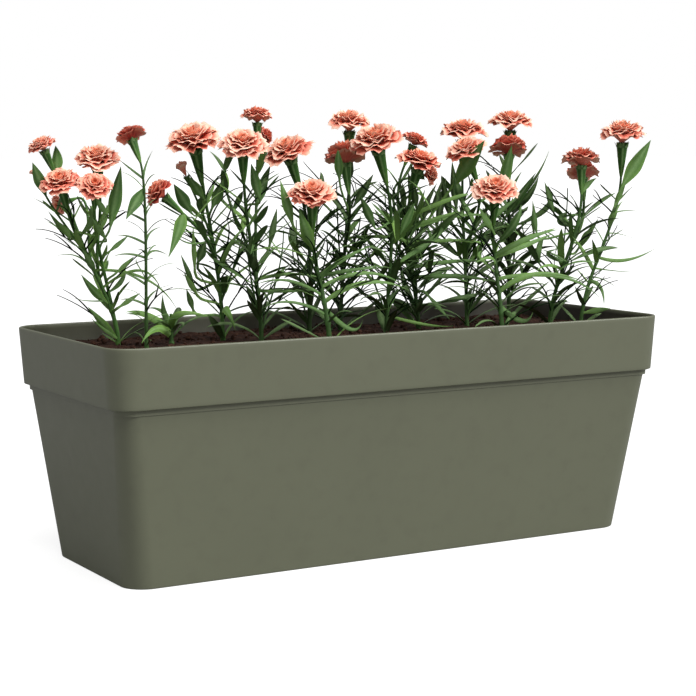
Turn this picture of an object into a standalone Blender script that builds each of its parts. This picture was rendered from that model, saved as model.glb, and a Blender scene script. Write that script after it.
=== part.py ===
"""Planted window box: a tapered plastic trough with a deep rim, filled with soil and planted with
carnations in bloom.

Lengths are in millimetres, and are scaled to metres where a mesh is made. +Z is up, +X runs along
the box, -Y is its front, and the origin is the middle of its base.
"""

from dataclasses import dataclass

import bmesh
import bpy
import numpy as np

MM = 0.001
GAP = 0.35  # kept between neighbouring solids
UP = np.array((0.0, 0.0, 1.0))

# The trough
BOX_LENGTH = 600.0
BOX_WIDTH = 250.0
BOX_HEIGHT = 220.0
BASE_LENGTH = 550.0
BASE_WIDTH = 184.0
RIM_HEIGHT = 54.0
RIM_DRAFT = 3.5  # how far each side of the rim draws in from its top to its foot
RIM_STEP = 5.0  # how far the rim's foot stands out from the neck under it
RIM_UNDERCUT = 0.35  # how far the rim's underside rises for each millimetre that it stands out
RIM_FOOT = 0.5  # the small round at the rim's foot
NECK_HEIGHT = 4.0
NECK_DRAFT = 0.2
NECK_STEP = 1.0
NECK_SLOPE = 0.3
WALL = 3.0
FLOOR = 4.0
RIM_CORNER = 25.0
BODY_CORNER = 19.0
BASE_CORNER = 24.0
EDGE = 1.4  # the small round on the lip and on the base
LIP_ROUND = 0.98  # how far the lip's top draws in from each face of the wall
CORNER_POINTS = 6
DRAIN_MARKS = ((-190, 0), (-95, 0), (95, 0), (190, 0))  # closed knock-outs under the base
DRAIN_RADIUS = 7.0
DRAIN_DEPTH = 1.0

# The soil
SOIL_TOP = 203.0
SOIL_BUMP = 1.5
SOIL_SIDE_POINTS = (7, 2)  # extra points along each long and each short side
SOIL_RINGS = (0.95, 0.66, 0.33)
ROOT_DEPTH = 24.0

# The carnations
STEM_POINTS = 7
STEM_BASE = 2.3
STEM_TOP = 1.4
BRANCH_BASE = 1.7
STEM_OVERLAP = 2.0  # how far a stem runs into its calyx, so that the two fuse
SLIM_BRANCH = (0.6, 1 / 80)  # a branch's thickness as a share, and the gain for each mm of bloom
CALYX_RADIUS = (1.8, 0.09)  # at no width of bloom, and the gain for each millimetre of it
CALYX_LENGTH = (4.0, 0.66)
CALYX_PROFILE = ((0.0, 0.24), (0.25, 0.5), (0.6, 0.78), (1.0, 1.0))  # share of length, of radius
CALYX_SIDES = 6
PETALS = 5
PETAL_EDGE = (0.72, 1.0, 0.97)  # reach at a petal's notch and at its two shoulders
PETAL_DROOP = (0.3, 1.0, 0.9)
DOME = 0.42  # an open bloom's height as a share of its width
PETAL_LAYERS = (  # reach and height of each layer's edge, then of the crease over it
    (1.00, 0.24, 0.50, 0.36),
    (0.86, 0.48, 0.37, 0.56),
    (0.66, 0.74, 0.22, 0.72),
    (0.40, 1.00, 0.00, 0.80),
)
SMALL_BLOOM = 30.0  # a bloom narrower than this has one layer fewer
BLOOM_SEAT = 1.0  # how far the foot of the petals stands in from the calyx's edge
PETAL_REACH = (1.0, 1.12)  # each petal's own share of its layer's reach
PETAL_SAG = (-0.16, 0.05)  # each petal's own lift, as a share of the dome's height
SAG_EASE = 0.2  # how much less each layer sags than the one below it
EDGE_LIFT = 0.05  # how much each point of an edge lifts or drops

# Their leaves
NODE_SPACING = 32.0
BRANCH_SPACING = 46.0
FIRST_NODE = 11.0
BRANCH_NODE = 27.0
LAST_NODE = 14.0
LEAF_LENGTH = (86.0, 40.0)  # at the soil, and under the bloom
LEAF_WIDTH = (5.8, 3.4)
LEAF_STEPS = 4
SHORT_LEAF = 64.0  # a leaf shorter than this has one step fewer
LEAF_KEEL = 1.0  # a leaf's thickness at its foot
BROAD_KEEL = 1.3
KEEL_TIP = 0.7  # the thickness left at the last section, as a share
LEAF_TALL = 160.0  # leaves are shortest from this height above the soil up
LEAF_REACH = (0.75, 1.15)  # each leaf's own share of that length
LEAF_SPREAD = (0.85, 1.15)  # each leaf's own share of that width
LEAF_RISE = (0.4, 0.85)  # angle from upright at the stem, in radians
LEAF_FALL = (1.85, 1.4)  # angle at the tip, at the soil and under the bloom
FALL_SPREAD = (0.65, 1.15)
LEAF_CURL = 0.35
LEAF_TURN = (0.16, 0.05)  # spread of a leaf's heading, and how much each further try adds
PAIR_TURN = 0.2
LEAF_SEAT = 0.2  # how far off the stem's middle a leaf starts, as a share of its radius
LEAF_FOOT = 1.3  # a leaf's greatest width at its foot, in radii of the stem
BROAD_FOOT = 1.4
BROAD_BOW = 0.1
TRY_EASE = 0.07  # how much shorter and steeper each further try is
LIGHT = np.array((-0.5, -0.8, 0.3))  # what the large leaves face
LEAF_TRIES = 9
LEAF_SEED = 7

# The room that each piece keeps
CLEARANCE = 0.9
SOIL_CLEARANCE = 5.0
BEAD_SPACING = 2.0
BEAD_MARGIN = 0.3
PETALS_BELOW = 0.15  # how far petals reach below the neck, as a share of the dome's height


@dataclass(frozen=True)
class Section:
    """A level rounded rectangle of the trough."""

    height: float
    half_length: float
    half_width: float
    corner: float

    def drawn_in(self, inset, height=None):
        """The same outline, smaller by inset all round, at this height or another."""
        return Section(
            self.height if height is None else height,
            self.half_length - inset,
            self.half_width - inset,
            self.corner - inset,
        )

    def outline(self, side_points=(0, 0)):
        """Its points, anticlockwise, with extra ones along the long and short sides."""
        quarter = np.linspace(0, np.pi / 2, CORNER_POINTS)
        signs = ((1, 1), (-1, 1), (-1, -1), (1, -1))
        corners = []
        for turn, (sx, sy) in enumerate(signs):
            angle = quarter + turn * np.pi / 2
            centre = (sx * (self.half_length - self.corner), sy * (self.half_width - self.corner))
            corners.append(np.stack((np.cos(angle), np.sin(angle)), 1) * self.corner + centre)
        points = []
        for turn, corner in enumerate(corners):
            following = corners[(turn + 1) % 4]
            points.append(corner)
            extra = side_points[turn % 2]
            share = np.linspace(0, 1, extra + 2)[1:-1, None]
            points.append(corner[-1] * (1 - share) + following[0] * share)
        flat = np.concatenate(points)
        return np.column_stack((flat, np.full(len(flat), self.height)))


@dataclass(frozen=True)
class Head:
    """A bloom: the middle of its dome, its width, and how far and which way it leans.

    lean is in degrees from upright, heading in degrees from +X. fork is the share of the plant's
    main stem at which this head's branch leaves it, and 0 for the head on the main stem.
    """

    x: float
    y: float
    z: float
    width: float
    lean: float
    heading: float
    fork: float = 0.0
    dome: float = DOME

    @property
    def axis(self):
        lean, heading = np.radians((self.lean, self.heading))
        level = np.array((np.cos(heading), np.sin(heading), 0.0))
        return np.sin(lean) * level + np.cos(lean) * UP

    @property
    def height(self):
        return self.width * self.dome

    @property
    def neck(self):
        """Where the petals leave the calyx."""
        return np.array((self.x, self.y, self.z)) - self.axis * self.height / 2

    @property
    def calyx_radius(self):
        return CALYX_RADIUS[0] + self.width * CALYX_RADIUS[1]

    @property
    def calyx_length(self):
        return CALYX_LENGTH[0] + self.width * CALYX_LENGTH[1]

    @property
    def calyx_foot(self):
        return self.neck - self.axis * (GAP + self.calyx_length)


@dataclass(frozen=True)
class BroadLeaf:
    """A large leaf from a share of one of the plant's stems to its tip."""

    stem: int
    share: float
    tip: tuple
    width: float


@dataclass(frozen=True)
class Plant:
    """A carnation: where it is rooted, its heads, and its large leaves."""

    root: tuple
    heads: tuple
    broad: tuple = ()
    thickness: float = 1.0


PLANTS = (
    Plant(
        (-220, 53),
        (
            Head(-282, 35, 360, 38, 33, 228),
            Head(-285, 70, 393, 30, 24, 180, 0.50),
            Head(-241, 44, 381, 43, 24, 240, 0.42),
            Head(-256, 14, 356, 33, 42, 250, 0.36),
            Head(-262, 86, 336, 18, 105, 200, 0.55, 0.6),
            Head(-299, 52, 366, 9, 24, 160, 0.62, 1.1),
        ),
        (
            BroadLeaf(3, 0.72, (-208, 66, 374), 10),
            BroadLeaf(1, 0.74, (-266, 74, 388), 10),
        ),
    ),
    Plant(
        (-209, 12),
        (Head(-218, 20, 402, 29, 28, 108, 0, 0.46),),
        (BroadLeaf(0, 0.78, (-231, 0, 326), 10),),
        0.75,
    ),
    Plant(
        (-114, 43),
        (
            Head(-145, 40, 399, 53, 24, 220),
            Head(-187, 30, 349, 31, 48, 165, 0.42, 0.55),
            Head(-150, 52, 369, 13, 24, 165, 0.52, 1.2),
        ),
        (
            BroadLeaf(0, 0.70, (-163, 30, 357), 9),
            BroadLeaf(0, 0.80, (-122, 22, 360), 9),
            BroadLeaf(1, 0.22, (-167, 16, 331), 9),
        ),
    ),
    Plant(
        (-88, 12),
        (
            Head(-112, 0, 394, 46, 29, 240),
            Head(-65, 60, 421, 31, 5, 60, 0.30, 0.52),
            Head(-43, 86, 400, 23, 64, -20, 0.42, 0.65),
        ),
        (BroadLeaf(0, 0.60, (-128, -14, 346), 8),),
    ),
    Plant(
        (-8, 60),
        (Head(-44, 38, 388, 50, 24, 200),),
        (BroadLeaf(0, 0.72, (-54, 48, 352), 9),),
    ),
    Plant(
        (-52, -58),
        (Head(-72, -62, 348, 46, 26, 240),),
        (BroadLeaf(0, 0.30, (-86, -52, 305), 8),),
        1.15,
    ),
    Plant(
        (50, 6),
        (Head(30, -5, 398, 54, 24, 205),),
        (BroadLeaf(0, 0.52, (70, -12, 332), 8),),
    ),
    Plant(
        (26, 56),
        (
            Head(40, 62, 416, 44, 8, 240, 0, 0.5),
            Head(20, 38, 383, 42, 20, 80, 0.45, 0.55),
        ),
        (BroadLeaf(1, 0.62, (23, 62, 388), 9),),
    ),
    Plant(
        (106, 34),
        (
            Head(100, 22, 377, 47, 18, 290),
            Head(126, 72, 397, 31, 24, -25, 0.45),
            Head(135, 56, 361, 23, 80, -40, 0.52, 0.65),
        ),
        (BroadLeaf(0, 0.50, (80, 34, 346), 9),),
    ),
    Plant(
        (166, 34),
        (
            Head(179, 62, 407, 50, 8, 240),
            Head(149, 15, 388, 42, 28, 190, 0.40),
        ),
        (BroadLeaf(1, 0.55, (153, -12, 392), 16),),
    ),
    Plant(
        (238, 60),
        (
            Head(244, 70, 417, 48, 6, 240, 0, 0.46),
            Head(217, 33, 390, 39, 20, 55, 0.42, 0.54),
        ),
        (
            BroadLeaf(1, 0.62, (206, 6, 388), 10),
            BroadLeaf(0, 0.62, (262, 44, 364), 7),
        ),
    ),
    Plant(
        (145, -60),
        (Head(134, -62, 350, 46, 28, 240),),
        (BroadLeaf(0, 0.40, (164, -54, 318), 8),),
        1.1,
    ),
    Plant(
        (238, -14),
        (
            Head(271, -20, 378, 39, 11, 60, 0, 0.48),
            Head(293, 6, 364, 35, 26, 60, 0.55, 0.5),
        ),
    ),
    Plant(
        (254, -46),
        (Head(305, -45, 404, 47, 6, 240, 0, 0.48),),
        (BroadLeaf(0, 0.68, (333, -58, 395), 15),),
        0.9,
    ),
    Plant((-176, 28), (), (), 0.9),
)

# The low tuft
TUFT_HEIGHT = 30.0
TUFT_LEAVES = 9
TUFT_PLACES = (0.35, 0.55)  # the lowest leaf's share of the stem, and how far the rest spread up
TUFT_TURN = 2.4  # from each leaf to the next, in radians
TUFT_LENGTH = (60.0, 85.0)
TUFT_WIDTH = (7.5, 9.5)
TUFT_RISE = (0.4, 0.7)
TUFT_FALL = (1.7, 2.2)
TUFT_CURL = 0.3
TUFT_JITTER = 0.15
TUFT_EASE = (0.06, 0.05)  # how much shorter, and how much steeper, each further try is


def unit(vector):
    """The vector at length 1."""
    return vector / np.linalg.norm(vector)


def bezier(start, leave, arrive, end, count):
    """Points along a cubic curve."""
    t = np.linspace(0, 1, count)[:, None]
    return (
        (1 - t) ** 3 * start
        + 3 * (1 - t) ** 2 * t * leave
        + 3 * (1 - t) * t**2 * arrive
        + t**3 * end
    )


def resampled(points, spacing):
    """The same line with its points about this far apart."""
    steps = np.linalg.norm(np.diff(points, axis=0), axis=1)
    travelled = np.concatenate(([0.0], np.cumsum(steps)))
    places = np.linspace(0, travelled[-1], max(2, int(travelled[-1] / spacing) + 1))
    return np.stack([np.interp(places, travelled, column) for column in points.T], 1)


class Shoot:
    """A stem or branch: a line of points with a radius at each."""

    def __init__(self, points, base_radius, top_radius):
        self.points = points
        self.radii = np.linspace(base_radius, top_radius, len(points))
        steps = np.linalg.norm(np.diff(points, axis=0), axis=1)
        self.travelled = np.concatenate(([0.0], np.cumsum(steps)))
        self.length = self.travelled[-1]

    def at(self, share):
        """(point, direction, radius) at this share of its length."""
        place = np.clip(share, 0, 1) * self.length
        point = np.array([np.interp(place, self.travelled, column) for column in self.points.T])
        index = np.clip(np.searchsorted(self.travelled, place) - 1, 0, len(self.points) - 2)
        direction = unit(self.points[index + 1] - self.points[index])
        return point, direction, np.interp(place, self.travelled, self.radii)


def shoots_of(plant):
    """The plant's main stem, then a branch for each further head."""
    root = np.array((*plant.root, SOIL_TOP))
    if not plant.heads:
        top = root + UP * TUFT_HEIGHT
        points = np.linspace(root, top, 3)
        shoots = [Shoot(points, STEM_BASE * plant.thickness, STEM_TOP)]
    else:
        head = plant.heads[0]
        reach = np.linalg.norm(head.calyx_foot - root) / 3
        points = bezier(
            root,
            root + UP * reach,
            head.calyx_foot - head.axis * reach,
            head.calyx_foot + head.axis * STEM_OVERLAP,
            STEM_POINTS,
        )
        shoots = [Shoot(points, STEM_BASE * plant.thickness, STEM_TOP * plant.thickness)]
    for head in plant.heads[1:]:
        start, direction, _ = shoots[0].at(head.fork)
        reach = np.linalg.norm(head.calyx_foot - start) / 3
        points = bezier(
            start,
            start + direction * reach,
            head.calyx_foot - head.axis * reach,
            head.calyx_foot + head.axis * STEM_OVERLAP,
            STEM_POINTS - 1,
        )
        slim = min(1.0, SLIM_BRANCH[0] + head.width * SLIM_BRANCH[1])
        shoots.append(Shoot(points, BRANCH_BASE * slim, STEM_TOP * slim))
    return shoots


@dataclass
class Blade:
    """A leaf: its midline, the way its width runs and its width at each point."""

    spine: np.ndarray
    side: np.ndarray
    width: np.ndarray
    keel: float

    def rings(self):
        """Three-sided sections, flat above and keeled below, that end in a point."""
        along = np.gradient(self.spine, axis=0)
        below = np.cross(along, self.side)
        below /= np.linalg.norm(below, axis=1)[:, None]
        depth = self.keel * np.linspace(1.0, KEEL_TIP, len(self.spine))[:, None]
        half = self.side * self.width[:, None] / 2
        sections = np.stack((self.spine - half, self.spine + half, self.spine + below * depth), 1)
        return [*sections[:-1], self.spine[-1:]]

    def beads(self):
        """(centres, radii) of balls that hold it, past the stem that it grows from."""
        centres = resampled(self.spine, BEAD_SPACING)[2:]
        shares = np.linspace(0, 1, len(centres))
        widths = np.interp(shares, np.linspace(0, 1, len(self.width)), self.width)
        return centres, widths / 2 + BEAD_MARGIN


def strap_leaf(shoot, share, heading, length, width, rise, fall, curl):
    """A narrow leaf that leaves the stem near upright and arches over.

    Args:
        shoot: The stem that it grows from.
        share: Where along the stem.
        heading: The way it grows, in radians from +X.
        length: Its length.
        width: Its greatest width.
        rise: Its angle from upright at the stem, in radians.
        fall: The same at its tip.
        curl: How far it turns sideways by its tip, in radians.

    Returns:
        The leaf as a Blade.
    """
    start, direction, radius = shoot.at(share)
    count = LEAF_STEPS - (length < SHORT_LEAF)
    t = np.linspace(0, 1, count + 1)
    middle = (t[1:] + t[:-1]) / 2
    angle = rise + (fall - rise) * middle**1.2
    turn = heading + curl * middle**2
    level = np.stack((np.cos(turn), np.sin(turn), np.zeros_like(turn)), 1)
    upward = unit(direction + UP)
    steps = np.cos(angle)[:, None] * upward + np.sin(angle)[:, None] * level
    steps *= length / count
    begin = start + level[0] * radius * LEAF_SEAT
    spine = begin + np.concatenate((np.zeros((1, 3)), np.cumsum(steps, axis=0)))
    side = np.cross(level, upward)
    side = np.concatenate((side[:1], side))
    side /= np.linalg.norm(side, axis=1)[:, None]
    widths = width * np.sin(np.pi * (0.2 + 0.8 * t)) ** 0.7
    widths[0] = min(widths[0], radius * LEAF_FOOT)
    widths[-1] = 0.0
    return Blade(spine, side, widths, LEAF_KEEL)


def broad_leaf(shoot, leaf):
    """A large lance-shaped leaf from the stem to its given tip."""
    start, direction, radius = shoot.at(leaf.share)
    tip = np.array(leaf.tip, float)
    across = tip - start
    outward = unit(across - across.dot(direction) * direction)
    reach = np.linalg.norm(across)
    bow = outward * reach * BROAD_BOW
    begin = start + outward * radius * LEAF_SEAT
    spine = bezier(
        begin,
        start + direction * reach * 0.25 + bow,
        start + across * 0.62 + bow,
        tip,
        LEAF_STEPS + 2,
    )
    t = np.linspace(0, 1, len(spine))
    side = np.tile(unit(np.cross(across, LIGHT)), (len(spine), 1))
    widths = leaf.width * np.sin(np.pi * (0.12 + 0.88 * t) ** 1.25)
    widths[0] = min(widths[0], radius * BROAD_FOOT)
    widths[-1] = 0.0
    return Blade(spine, side, np.maximum(widths, 0.0), BROAD_KEEL)


class Thicket:
    """All that has grown so far, so that no leaf is let through its neighbour."""

    def __init__(self):
        self.centres = np.empty((0, 3))
        self.radii = np.empty(0)
        self.owners = np.empty(0, int)
        self.heads = []

    def add(self, owner, centres, radii):
        """Takes in balls that hold a piece of the plant numbered owner."""
        self.centres = np.concatenate((self.centres, centres))
        self.radii = np.concatenate((self.radii, radii))
        self.owners = np.concatenate((self.owners, np.full(len(radii), owner)))

    def add_shoot(self, owner, shoot):
        """Takes in a stem."""
        centres = resampled(shoot.points, BEAD_SPACING)
        self.add(owner, centres, np.full(len(centres), shoot.radii[0]))

    def add_head(self, owner, head):
        """Takes in a bloom and its calyx."""
        self.heads.append(head)
        centres = resampled(np.stack((head.calyx_foot, head.neck)), BEAD_SPACING)
        self.add(owner, centres, np.full(len(centres), head.calyx_radius))

    def has_room(self, owner, blade):
        """Whether the leaf is clear of the trough, the soil, every bloom and the other plants."""
        centres, radii = blade.beads()
        lowest = centres[:, 2] - radii
        inside = (np.abs(centres[:, 0]) + radii < BOX_LENGTH / 2 - 2 * WALL) & (
            np.abs(centres[:, 1]) + radii < BOX_WIDTH / 2 - 2 * WALL
        )
        floor = np.where(inside, SOIL_TOP + SOIL_BUMP + SOIL_CLEARANCE, BOX_HEIGHT + CLEARANCE)
        if (lowest < floor).any():
            return False
        for head in self.heads:
            offset = centres - head.neck
            height = offset @ head.axis
            reach = np.linalg.norm(offset - height[:, None] * head.axis, axis=1)
            near = reach - radii < head.width / 2 + CLEARANCE
            low = -head.height * PETALS_BELOW
            level = (height + radii > low) & (height - radii < head.height)
            if (near & level).any():
                return False
        others = self.owners != owner
        apart = np.linalg.norm(centres[:, None] - self.centres[others], axis=2)
        return (apart - radii[:, None] - self.radii[others]).min() > CLEARANCE


def strap_leaves(number, shoots, thicket):
    """The plant's narrow leaves, in pairs up each stem, each pair turned from the last."""
    rng = np.random.default_rng(number + LEAF_SEED)
    blades = []
    for order, shoot in enumerate(shoots):
        heading = rng.uniform(0, np.pi)
        if order:
            places = np.arange(BRANCH_NODE, shoot.length - LAST_NODE, BRANCH_SPACING)
        else:
            places = np.arange(FIRST_NODE, shoot.length - LAST_NODE, NODE_SPACING)
        for place in places:
            share = place / shoot.length
            height = np.clip((shoot.at(share)[0][2] - SOIL_TOP) / LEAF_TALL, 0, 1)
            heading += np.pi / 2 + rng.normal(0, PAIR_TURN)
            for opposite in (0, np.pi):
                grown = new_leaf(number, shoot, share, heading + opposite, height, rng, thicket)
                if grown is not None:
                    blades.append(grown)
                    thicket.add(number, *grown.beads())
    return blades


def new_leaf(number, shoot, share, heading, height, rng, thicket):
    """A leaf that has room here, or None. Each further try is a little shorter and steeper."""
    for attempt in range(LEAF_TRIES):
        ease = 1 - TRY_EASE * attempt
        blade = strap_leaf(
            shoot,
            share,
            heading + rng.normal(0, LEAF_TURN[0] + LEAF_TURN[1] * attempt),
            np.interp(height, (0, 1), LEAF_LENGTH) * rng.uniform(*LEAF_REACH) * ease,
            np.interp(height, (0, 1), LEAF_WIDTH) * rng.uniform(*LEAF_SPREAD),
            rng.uniform(*LEAF_RISE),
            np.interp(height, (0, 1), LEAF_FALL) * rng.uniform(*FALL_SPREAD) * ease,
            rng.normal(0, LEAF_CURL),
        )
        if thicket.has_room(number, blade):
            return blade
    return None


def tuft_leaves(number, shoot, thicket):
    """The low plant's rosette of wide leaves, spread evenly round its short stem."""
    rng = np.random.default_rng(number)
    blades = []
    for index in range(TUFT_LEAVES):
        for attempt in range(LEAF_TRIES):
            blade = strap_leaf(
                shoot,
                TUFT_PLACES[0] + TUFT_PLACES[1] * index / TUFT_LEAVES,
                index * TUFT_TURN + rng.normal(0, TUFT_JITTER),
                rng.uniform(*TUFT_LENGTH) * (1 - TUFT_EASE[0] * attempt),
                rng.uniform(*TUFT_WIDTH),
                rng.uniform(*TUFT_RISE),
                rng.uniform(*TUFT_FALL) * (1 - TUFT_EASE[1] * attempt),
                rng.normal(0, TUFT_CURL),
            )
            if thicket.has_room(number, blade):
                blades.append(blade)
                thicket.add(number, *blade.beads())
                break
    return blades


def material(name, colour, roughness):
    """A plain material, not metallic."""
    made = bpy.data.materials.new(name)
    made.use_nodes = True
    shader = made.node_tree.nodes["Principled BSDF"]
    shader.inputs["Base Color"].default_value = (*colour, 1.0)
    shader.inputs["Roughness"].default_value = roughness
    shader.inputs["Metallic"].default_value = 0.0
    made.diffuse_color = (*colour, 1.0)
    return made


def new_object(name, mesh, look, collection):
    """A named object with this mesh and material, smooth but for its sharp edges."""
    mesh.materials.clear()
    mesh.materials.append(look)
    mesh.shade_smooth()
    mesh.set_sharp_from_angle(angle=np.radians(40))
    made = bpy.data.objects.new(name, mesh)
    collection.objects.link(made)
    return made


def loft(name, rings, look, collection):
    """A closed skin over rings of points, where a ring of one point closes it to a tip."""
    sheet = bmesh.new()
    rows = [[sheet.verts.new(point * MM) for point in ring] for ring in rings]
    for low, high in zip(rows, rows[1:]):
        for index in range(max(len(low), len(high))):
            following = index + 1
            corners = (
                low[index % len(low)],
                low[following % len(low)],
                high[following % len(high)],
                high[index % len(high)],
            )
            sheet.faces.new(dict.fromkeys(corners))
    for row in (rows[0], rows[-1]):
        if len(row) > 1:
            sheet.faces.new(row)
    bmesh.ops.recalc_face_normals(sheet, faces=sheet.faces)
    mesh = bpy.data.meshes.new(name)
    sheet.to_mesh(mesh)
    sheet.free()
    return new_object(name, mesh, look, collection)


def settled_mesh(thing):
    """A new mesh of the object as its modifiers or its bevel shape it."""
    bpy.context.view_layer.update()
    graph = bpy.context.evaluated_depsgraph_get()
    return bpy.data.meshes.new_from_object(thing.evaluated_get(graph))


def tube(name, points, radii, look, collection):
    """A four-sided tube along the points, from a bevelled curve, as a closed mesh."""
    curve = bpy.data.curves.new(name, "CURVE")
    curve.dimensions = "3D"
    curve.bevel_depth = MM
    curve.bevel_resolution = 0
    curve.use_fill_caps = True
    spline = curve.splines.new("POLY")
    spline.points.add(len(points) - 1)
    for knot, point, radius in zip(spline.points, points * MM, radii):
        knot.co = (*point, 1.0)
        knot.radius = radius
    guide = bpy.data.objects.new(name, curve)
    collection.objects.link(guide)
    mesh = settled_mesh(guide)
    place = guide.matrix_world.copy()
    bpy.data.objects.remove(guide)
    sheet = bmesh.new()
    sheet.from_mesh(mesh)
    bmesh.ops.remove_doubles(sheet, verts=sheet.verts, dist=1e-6)
    bmesh.ops.recalc_face_normals(sheet, faces=sheet.faces)
    sheet.to_mesh(mesh)
    sheet.free()
    made = new_object(name, mesh, look, collection)
    made.matrix_world = place
    return made


def neighbours(face):
    """The faces that share a whole edge with this one and no other."""
    pairs = [side.link_faces for side in face.edges if len(side.link_faces) == 2]
    return {other for pair in pairs for other in pair}


def without_scraps(mesh):
    """The mesh in triangles, with only its largest shell: no sealed bubble or loose chip."""
    sheet = bmesh.new()
    sheet.from_mesh(mesh)
    bmesh.ops.triangulate(sheet, faces=sheet.faces)
    unseen = set(sheet.faces)
    shells = []
    while unseen:
        shell = set()
        front = {unseen.pop()}
        while front:
            shell |= front
            front = set().union(*(neighbours(face) for face in front)) - shell
        unseen -= shell
        shells.append(shell)
    shells.sort(key=len)
    for shell in shells[:-1]:
        bmesh.ops.delete(sheet, geom=list(shell), context="FACES")
    sheet.to_mesh(mesh)
    sheet.free()
    return mesh


def combined(name, body, pieces, operation, look, collection):
    """The body with every piece joined to it or cut from it, as one new object."""
    helpers = bpy.data.collections.new(f"{name} pieces")
    bpy.context.scene.collection.children.link(helpers)
    for piece in pieces:
        for home in piece.users_collection:
            home.objects.unlink(piece)
        helpers.objects.link(piece)
    boolean = body.modifiers.new("pieces", "BOOLEAN")
    boolean.operation = operation
    boolean.operand_type = "COLLECTION"
    boolean.collection = helpers
    boolean.solver = "MANIFOLD"
    mesh = without_scraps(settled_mesh(body))
    for piece in (*pieces, body):
        bpy.data.objects.remove(piece)
    bpy.data.collections.remove(helpers)
    return new_object(name, mesh, look, collection)


def cylinder(x, y, z, radius, reach):
    """A six-sided upright cutter that reaches as far above its middle as below it."""
    bpy.ops.mesh.primitive_cylinder_add(
        vertices=6, radius=radius * MM, depth=2 * reach * MM, location=(x * MM, y * MM, z * MM)
    )
    return bpy.context.object


def outer_sections():
    """The trough's outside, from the base up to the lip."""
    base = Section(EDGE, BASE_LENGTH / 2, BASE_WIDTH / 2, BASE_CORNER)
    rim = Section(BOX_HEIGHT - EDGE, BOX_LENGTH / 2, BOX_WIDTH / 2, RIM_CORNER)
    foot = rim.drawn_in(RIM_DRAFT, BOX_HEIGHT - RIM_HEIGHT)
    neck = foot.drawn_in(RIM_STEP, foot.height - RIM_STEP * RIM_UNDERCUT)
    neck_foot = neck.drawn_in(NECK_DRAFT, neck.height - NECK_HEIGHT)
    body = neck_foot.drawn_in(NECK_STEP, neck_foot.height - NECK_SLOPE)
    body = Section(body.height, body.half_length, body.half_width, BODY_CORNER)
    return [
        base.drawn_in(EDGE, 0.0),
        base,
        body,
        neck_foot,
        neck,
        foot.drawn_in(RIM_FOOT, foot.height - RIM_FOOT / 5),
        foot.drawn_in(0.0, foot.height + RIM_FOOT),
        rim,
        rim.drawn_in(LIP_ROUND, BOX_HEIGHT),
    ]


def inner_sections():
    """The trough's inside, from the lip down to the floor."""
    base, body, foot, rim = (outer_sections()[index] for index in (1, 2, 6, 7))
    return [
        rim.drawn_in(WALL - LIP_ROUND, BOX_HEIGHT),
        rim.drawn_in(WALL),
        foot.drawn_in(WALL, foot.height + WALL),
        body.drawn_in(WALL, body.height - WALL),
        base.drawn_in(WALL, FLOOR),
    ]


def planter_box(look, collection):
    """The trough, one moulding, with shallow closed drain marks under its base."""
    rings = [section.outline() for section in outer_sections() + inner_sections()]
    body = loft("planter_body", rings, look, collection)
    marks = []
    for x, y in DRAIN_MARKS:
        marks.append(cylinder(x, y, 0.0, DRAIN_RADIUS, DRAIN_DEPTH))
    return combined("planter_box", body, marks, "DIFFERENCE", look, collection)


def soil_height(x, y):
    """The soil's uneven top."""
    return SOIL_TOP + SOIL_BUMP * (np.sin(x / 23 + y / 17) * np.cos(y / 13 - x / 41))


def soil(look, collection):
    """The soil that fills the trough, with a plain hole for each stem."""
    floor, *middle, below, lip = (
        section.drawn_in(GAP) for section in reversed(inner_sections()[1:])
    )
    short = (lip.height - SOIL_TOP) / (lip.height - below.height)
    shrink = (lip.half_length - below.half_length) * short
    top = lip.drawn_in(shrink, SOIL_TOP - SOIL_BUMP)
    sections = (floor.drawn_in(0.0, floor.height + GAP), *middle, below, top)
    rings = [section.outline(SOIL_SIDE_POINTS) for section in sections]
    brim = rings[-1]
    for scale in SOIL_RINGS:
        ring = brim * (scale, scale, 1)
        ring[:, 2] = soil_height(ring[:, 0], ring[:, 1])
        rings.append(ring)
    rings.append(np.array([(0, 0, soil_height(0, 0))]))
    body = loft("soil_body", rings, look, collection)
    holes = []
    for plant in PLANTS:
        x, y = plant.root
        radius = STEM_BASE * plant.thickness + 2 * GAP
        holes.append(cylinder(x, y, SOIL_TOP, radius, ROOT_DEPTH + GAP))
    return combined("soil", body, holes, "DIFFERENCE", look, collection)


def calyx(name, head, look, collection):
    """The green cup under a bloom, wide at its mouth and narrowing to the stem."""
    across, upright = cross_axes(head.axis)
    turn = np.arange(CALYX_SIDES) * 2 * np.pi / CALYX_SIDES
    circle = np.cos(turn)[:, None] * across + np.sin(turn)[:, None] * upright
    rings = []
    for share, reach in CALYX_PROFILE:
        centre = head.calyx_foot + head.axis * head.calyx_length * share
        rings.append(centre + circle * head.calyx_radius * reach)
    return loft(name, rings, look, collection)


def cross_axes(axis):
    """Two directions square to the axis and to each other."""
    across = unit(np.cross(axis, (0.36, 0.93, 0.1)))
    return across, np.cross(axis, across)


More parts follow.
